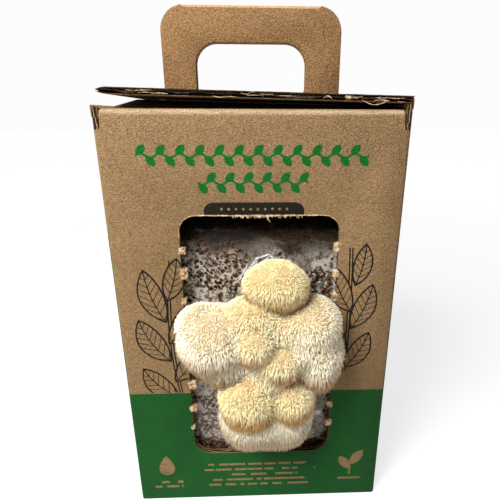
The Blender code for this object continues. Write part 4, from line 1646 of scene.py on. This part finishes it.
class KIT_OT_fruit(bpy.types.Operator):
    """Builds the fruit body: its fused lobes, and thousands of hanging teeth on them"""

    bl_idname = "kit.fruit"
    bl_label = "Fruit body"
    bl_options = {"REGISTER", "UNDO"}

    # Places on y: the flesh's flat back, the rearmost teeth, and the wall's face, in front of which teeth
    # beside the window stay
    back = -62.9 * MM
    teeth_from = -65.5 * MM
    wall_face = FRONT - 0.7 * MM

    # Rays start this far off the flesh, and teeth whose lobe asks for more than this length hang straight
    off_flesh = 0.8 * MM
    long_teeth = 1.22

    def execute(self, context):
        look = context.scene.kit_fruit
        flesh = self.flesh()
        dress(flesh, fruit_flesh())
        feet, normals = self.feet(flesh, look)
        self.grow(flesh, feet, normals, look, fruit_teeth())
        place_piece(flesh, "carton", "fruit_body", "lions_mane")
        return {"FINISHED"}

    def flesh(self):
        """Balls fused into one soft body, flat where it meets the block."""
        balls = []
        for lobe in LOBES:
            settle()
            bpy.ops.mesh.primitive_ico_sphere_add(subdivisions=5, radius=1.0, location=lobe.centre)
            ball = named("ball")
            ball.scale = lobe.half
            apply_place(ball)
            balls.append(ball)
        flesh = join("fruit_flesh", balls)
        modify(flesh, "REMESH", mode="VOXEL", voxel_size=1.5 * MM)
        modify(flesh, "SMOOTH", factor=0.5, iterations=16)
        for vert, way in with_normals(flesh):
            swell = 0.9 + wobble(vert.co, 75.0, 6.0) * 1.3 + wobble(vert.co, 210.0, 2.0) * 0.5
            vert.co += way * swell * MM
        plane = {"plane_co": (0.0, self.back, 0.0), "plane_no": (0.0, 1.0, 0.0)}
        with editing(flesh, "FACE", lambda face: True):
            bpy.ops.mesh.bisect(use_fill=True, clear_outer=True, **plane)
        flesh.data.shade_smooth()
        return flesh

    def feet(self, flesh, look):
        """Places for the teeth, spread evenly over the body but no closer than the spacing."""
        mesh = flesh.data
        mesh.calc_loop_triangles()
        triangles = read_vectors(mesh.loop_triangles, "vertices", np.int32)
        ways = read_vectors(mesh.vertices, "normal")
        corners = read_vectors(mesh.vertices, "co")[triangles]
        sides = corners[:, 1:] - corners[:, :1]
        areas = np.linalg.norm(np.cross(sides[:, 0], sides[:, 1]), axis=1) / 2
        draw = np.random.default_rng(look.seed)
        tries = int(areas.sum() / look.spacing ** 2 * 3.2)
        chosen = draw.choice(len(triangles), tries, p=areas / areas.sum())
        first, second = draw.random(tries), draw.random(tries)
        over = first + second > 1.0
        first[over], second[over] = 1.0 - first[over], 1.0 - second[over]
        weights = np.stack((1.0 - first - second, first, second), axis=1)[:, :, None]
        points = (corners[chosen] * weights).sum(axis=1)
        normals = unit((ways[triangles[chosen]] * weights).sum(axis=1))
        outside = (points[:, 1] < self.teeth_from) & (normals[:, 1] < 0.7)
        return self.thin_out(points[outside], normals[outside], look.spacing)

    def thin_out(self, points, normals, spacing):
        """Keeps a point only where no kept one is nearer than the spacing."""
        kept = {}
        order = []
        cells = np.floor(points / spacing).astype(int)
        around = list(product((-1, 0, 1), repeat=3))
        nearest = spacing * spacing
        for index, (cell, point) in enumerate(zip(cells.tolist(), points.tolist())):
            for i, j, k in around:
                other = kept.get((cell[0] + i, cell[1] + j, cell[2] + k))
                if other is None:
                    continue
                gap = (point[0] - other[0]) ** 2 + (point[1] - other[1]) ** 2 + (point[2] - other[2]) ** 2
                if gap < nearest:
                    break
            else:
                kept[tuple(cell)] = point
                order.append(index)
        return points[order], normals[order]

    def nearest_lobes(self, points):
        """Each point's nearest lobe, and yellowness, length and lowness blended between near lobes."""
        away = np.array([np.linalg.norm((points - lobe.centre) / lobe.half, axis=1) for lobe in LOBES])
        closeness = 1.0 / np.maximum(away, 0.05) ** 14
        share = closeness / closeness.sum(axis=0)
        golden = share.T @ [lobe.golden for lobe in LOBES]
        length = share.T @ [lobe.length for lobe in LOBES]
        lows = np.array([(lobe.centre.z - points[:, 2]) / lobe.half.z for lobe in LOBES])
        return closeness.argmax(axis=0), golden, length, (share * lows).sum(axis=0)

    def grow(self, flesh, feet, normals, look, material):
        """Teeth leave the flesh, lean with their neighbours and hang down."""
        body = BVHTree.FromPolygons(
            [vert.co for vert in flesh.data.vertices], [face.vertices[:] for face in flesh.data.polygons]
        )
        draw = np.random.default_rng(look.seed + 1)
        count = len(feet)
        lobe_number, golden, reach, lowness = self.nearest_lobes(feet)
        is_long = reach > self.long_teeth
        middles, tuft = self.tufts(feet, normals, look.tuft)
        tufts = tuft.max() + 1
        noise.seed_set(look.seed + 1)
        lean = np.array([noise.noise_vector(Vector(foot) * 230.0) * 0.40 for foot in feet])
        lean += draw.normal(0.0, 0.26, (tufts, 3))[tuft]
        loose = np.where(is_long, 0.35, 1.0)
        up_share = np.clip(normals[:, 2], -1.0, 1.0)
        hang = np.clip(0.25 + 0.75 * lowness - 0.35 * up_share, 0.0, 1.0)
        ways = normals + lean * loose[:, None]
        ways[:, 2] -= 0.28 + 0.62 * hang
        ways[:, 1] -= 0.08
        ways = unit(ways + draw.normal(0.0, 0.10, (count, 3)))
        lengths = look.tooth * reach * (0.82 - 0.34 * np.clip(up_share, -0.6, 1.0))
        lengths *= 1.0 + loose * (draw.uniform(-0.22, 0.22, tufts)[tuft] + draw.uniform(-0.2, 0.12, count))
        ways += (middles - feet) * (0.5 / lengths)[:, None]
        lengths = np.minimum(lengths, self.clearance(body, feet, normals, ways, lengths))
        droop = 0.16 + 0.36 * hang
        tips = feet + ways * lengths[:, None]
        tips[:, 2] -= lengths * droop
        keep = self.clear_of_wall(feet, tips) & (lengths > 0.9 * MM)

        golden = np.clip(golden + draw.normal(0.0, 0.10, count), 0.0, 1.0)
        variety = np.clip(draw.random(tufts)[tuft] + draw.normal(0.0, 0.15, count), 0.0, 1.0)
        # Painted shade for each tooth: more low down, on lobes' lower parts, facing down or to the sides,
        # and where the body closes in.
        deep = np.clip((155 * MM - feet[:, 2]) / (45 * MM), 0.0, 1.0)
        aside = np.clip(normals[:, 0], -0.8, 1.0) ** 2
        under = (0.9 + 0.6 * deep) * lowness - 0.65 * up_share + 0.12 * deep + 0.35 * aside - 0.06
        under += 1.5 * self.sunkenness(body, feet, normals)
        under = np.clip(under + draw.normal(0.0, 0.08, count), 0.0, 1.0) * np.where(is_long, 0.8, 1.0)

        groups = np.array([LOBES[number].name for number in lobe_number])
        groups[groups == "root"] = "middle"
        for name in sorted(set(groups)):
            pick = keep & (groups == name)
            widths = look.width * draw.uniform(0.8, 1.2, int(pick.sum()))
            shape = feet[pick], ways[pick], lengths[pick], droop[pick], widths
            piece = self.teeth_piece("teeth_" + name, *shape, golden[pick], variety[pick], under[pick])
            dress(piece, material)
            place_piece(piece, "carton", "fruit_body", "lions_mane")

    def tufts(self, feet, normals, spacing):
        """For each tooth the middle and number of its tuft, as neighbouring teeth lean together."""
        middles, _ = self.thin_out(feet, normals, spacing)
        tree = KDTree(len(middles))
        for number, place in enumerate(middles):
            tree.insert(place, number)
        tree.balance()
        numbers = np.array([tree.find(foot)[1] for foot in feet])
        return middles[numbers], numbers

    def sunkenness(self, body, feet, normals):
        """For each tooth how much of its outlook is closed off by near parts of the body, from 0 to 1."""
        reach = 13 * MM
        slants = [Vector(way) for way in ((1, 0, 0), (-1, 0, 0), (0, 0, 1), (0, 0, -1), (0, -1, 0))]
        closed = np.zeros(len(feet))
        for index, (foot, normal) in enumerate(zip(feet, normals)):
            normal = Vector(normal)
            start = Vector(foot) + normal * self.off_flesh
            for slant in slants:
                gap = body.ray_cast(start, (normal * 0.8 + slant).normalized(), reach)[3]
                if gap is not None:
                    closed[index] += 1.0 - gap / reach
        return closed / len(slants)

    def clearance(self, body, feet, normals, ways, lengths):
        """Most that each tooth may reach before it would run into another lobe."""
        most = np.array(lengths)
        for index, (foot, normal, way, length) in enumerate(zip(feet, normals, ways, lengths)):
            start = Vector(foot) + Vector(normal) * self.off_flesh
            gap = body.ray_cast(start, Vector(way), length * 2.2)[3]
            if gap is not None:
                most[index] = gap * 0.46 + self.off_flesh
        return most

    def clear_of_wall(self, feet, tips):
        """Teeth beside the window's edge stay in front of the wall."""
        margin = 1.2 * MM
        clear = np.ones(len(feet), dtype=bool)
        for ends in (feet, tips):
            inside = (ends[:, 0] > WINDOW_LEFT + margin) & (ends[:, 0] < WINDOW_RIGHT - margin)
            inside &= (ends[:, 2] > WINDOW_FLOOR + margin) & (ends[:, 2] < WINDOW_TOP - margin)
            clear &= inside | (ends[:, 1] < self.wall_face)
        return clear

    def teeth_piece(self, name, feet, ways, lengths, droop, widths, golden, variety, under):
        """One mesh of bent three-sided teeth, with the attributes of their points."""
        rings = ((-0.12, 1.0), (0.34, 0.86), (0.70, 0.55))
        sides = 3
        count = len(feet)
        across = unit(np.cross(ways, np.array([0.31, 0.13, 0.94])))
        over = np.cross(ways, across)
        points, reach = [], []
        for share, girth in rings:
            centre = feet + ways * (lengths * share)[:, None]
            centre[:, 2] -= lengths * droop * share * abs(share)
            for side in range(sides):
                angle = math.tau * (variety + side / sides)
                rim = across * np.cos(angle)[:, None] + over * np.sin(angle)[:, None]
                points.append(centre + rim * (widths * girth / 2)[:, None])
                reach.append(np.full(count, max(share, 0.0)))
        tip = feet + ways * lengths[:, None]
        tip[:, 2] -= lengths * droop
        points.append(tip)
        reach.append(np.ones(count))
        each = len(points)

        pattern = [(0, 2, 1)]
        for near in range((len(rings) - 1) * sides):
            beside = near + 1 if near % sides < sides - 1 else near + 1 - sides
            pattern.extend(((near, beside, beside + sides), (near, beside + sides, near + sides)))
        last = (len(rings) - 1) * sides
        pattern.extend((last + side, last + (side + 1) % sides, each - 1) for side in range(sides))
        triangles = (np.array(pattern)[None] + (np.arange(count) * each)[:, None, None]).reshape(-1, 3)
        piece = self.mesh_of_triangles(name, np.stack(points, axis=1).reshape(-1, 3), triangles)
        of_points = [np.stack(reach, axis=1).ravel()]
        of_points += [np.repeat(values, each) for values in (golden, variety, under)]
        for label, values in zip(TOOTH_ATTRIBUTES, of_points):
            attribute = piece.data.attributes.new(label, "FLOAT", "POINT")
            attribute.data.foreach_set("value", values.astype(np.float32))
        return piece

    def mesh_of_triangles(self, name, points, triangles):
        data = bpy.data.meshes.new(name)
        data.vertices.add(len(points))
        data.vertices.foreach_set("co", points.astype(np.float32).ravel())
        data.loops.add(triangles.size)
        data.polygons.add(len(triangles))
        data.polygons.foreach_set("loop_start", np.arange(0, triangles.size, 3, dtype=np.int32))
        data.polygons.foreach_set("vertices", triangles.astype(np.int32).ravel())
        data.update(calc_edges=True)
        data.shade_smooth()
        return add_object(name, data)


class KIT_OT_stage(bpy.types.Operator):
    """Sets up the pale floor, the soft light and the camera"""

    bl_idname = "kit.stage"
    bl_label = "Stage"
    bl_options = {"REGISTER", "UNDO"}

    def execute(self, context):
        look = context.scene.kit_stage
        settle()
        bpy.ops.mesh.primitive_plane_add(size=14.0, location=(0.0, 0.0, 0.0))
        floor = named("studio_floor")
        dress(floor, self.pale_floor(look))
        self.sky(context.scene, look)
        self.area_light("key_light", (-0.40, -0.50, 0.86), (0.0, -0.05, 0.2), 0.5, look.key)
        self.area_light("fill_light", (0.7, -0.9, 0.6), (0.0, 0.0, 0.15), 1.0, look.fill)
        self.camera(context.scene)
        context.scene.view_settings.view_transform = "Standard"
        return {"FINISHED"}

    def pale_floor(self, look):
        """Floor that glows a little, more so far from the object, where it meets the wall."""
        finish = Finish("pale_floor")
        place = finish.place()
        shade = finish.mix(finish.noise(place, 3.0, 2.0), scaled(look.floor, 0.97), look.floor)
        away = finish.add("ShaderNodeVectorMath", {"operation": "LENGTH"}, {0: place}, 1)
        glow = finish.mix(away.step(0.25, 1.7), (look.glow,) * 3, (look.wall - 0.06,) * 3)
        finish.wear(Emission_Color=glow, Emission_Strength=1.0)
        return finish.wear(Base_Color=shade, Roughness=0.9, Specular_IOR_Level=0.1)

    def sky(self, scene, look):
        """Even light all round, with a white wall behind the object, as in a small studio."""
        world = bpy.data.worlds.new("white_studio")
        scene.world = world
        nodes = Nodes(world)
        _, y, z = nodes.parts(nodes.place("Generated"))
        wall = z.step(0.42, 0.27) * y.step(0.1, 0.5)
        background = nodes.tree.nodes["Background"]
        nodes.feed(background.inputs["Strength"], wall * (look.wall - look.sky) + look.sky)
        nodes.feed(background.inputs["Color"], (1.0, 1.0, 1.0))

    def area_light(self, name, place, target, size, power):
        data = bpy.data.lights.new(name, "AREA")
        data.shape = "DISK"
        data.size = size
        data.energy = power
        light = add_object(name, data)
        light.location = place
        light.rotation_euler = (Vector(target) - Vector(place)).to_track_quat("-Z", "Y").to_euler()

    def camera(self, scene):
        """A hand-held view from in front of the handle, looking down at the window."""
        place = Vector((3.9 * MM, -316.7 * MM, 296.0 * MM))
        yaw, pitch, roll = math.radians(2.14), math.radians(18.2), math.radians(0.21)
        focal_pixels, frame_pixels = 397.3, 500
        shift_pixels = (-26.0, -3.0)
        ahead = Vector((math.sin(yaw) * math.cos(pitch), math.cos(yaw) * math.cos(pitch), -math.sin(pitch)))
        level = Vector((math.cos(yaw), -math.sin(yaw), 0.0))
        above = level.cross(ahead)
        right = level * math.cos(roll) + above * math.sin(roll)
        up = above * math.cos(roll) - level * math.sin(roll)
        data = bpy.data.cameras.new("camera")
        data.sensor_fit = "HORIZONTAL"
        data.sensor_width = 36.0
        data.lens = data.sensor_width * focal_pixels / frame_pixels
        data.shift_x, data.shift_y = (shift / frame_pixels for shift in shift_pixels)
        data.clip_start = 0.01
        camera = add_object("camera", data)
        camera.matrix_world = Matrix.Translation(place) @ Matrix((right, up, -ahead)).transposed().to_4x4()
        scene.camera = camera


PIECES = (
    KIT_OT_walls, KIT_OT_bottom, KIT_OT_top_flaps, KIT_OT_lid, KIT_OT_lid_fold, KIT_OT_handle, KIT_OT_tears,
    KIT_OT_block, KIT_OT_bag, KIT_OT_fruit, KIT_OT_stage,
)


class KIT_PT_panel(bpy.types.Panel):
    """Lists the settings and the operators"""

    bl_idname = "KIT_PT_panel"
    bl_label = "Grow kit"
    bl_space_type = "VIEW_3D"
    bl_region_type = "UI"
    bl_category = "Grow kit"

    def draw(self, context):
        layout = self.layout
        for group in SETTINGS:
            settings = getattr(context.scene, group)
            box = layout.box()
            for name in settings.bl_rna.properties.keys():
                if name not in ("rna_type", "name"):
                    box.prop(settings, name)
        for piece in PIECES:
            layout.operator(piece.bl_idname)


def register():
    for name, group in SETTINGS.items():
        bpy.utils.register_class(group)
        setattr(bpy.types.Scene, name, PointerProperty(type=group))
    for piece in PIECES:
        bpy.utils.register_class(piece)
    bpy.utils.register_class(KIT_PT_panel)


def unregister():
    bpy.utils.unregister_class(KIT_PT_panel)
    for piece in reversed(PIECES):
        bpy.utils.unregister_class(piece)
    for name, group in reversed(SETTINGS.items()):
        delattr(bpy.types.Scene, name)
        bpy.utils.unregister_class(group)


def main():
    register()
    for piece in PIECES:
        module, name = piece.bl_idname.split(".")
        getattr(getattr(bpy.ops, module), name)()


if __name__ == "__main__":
    main()
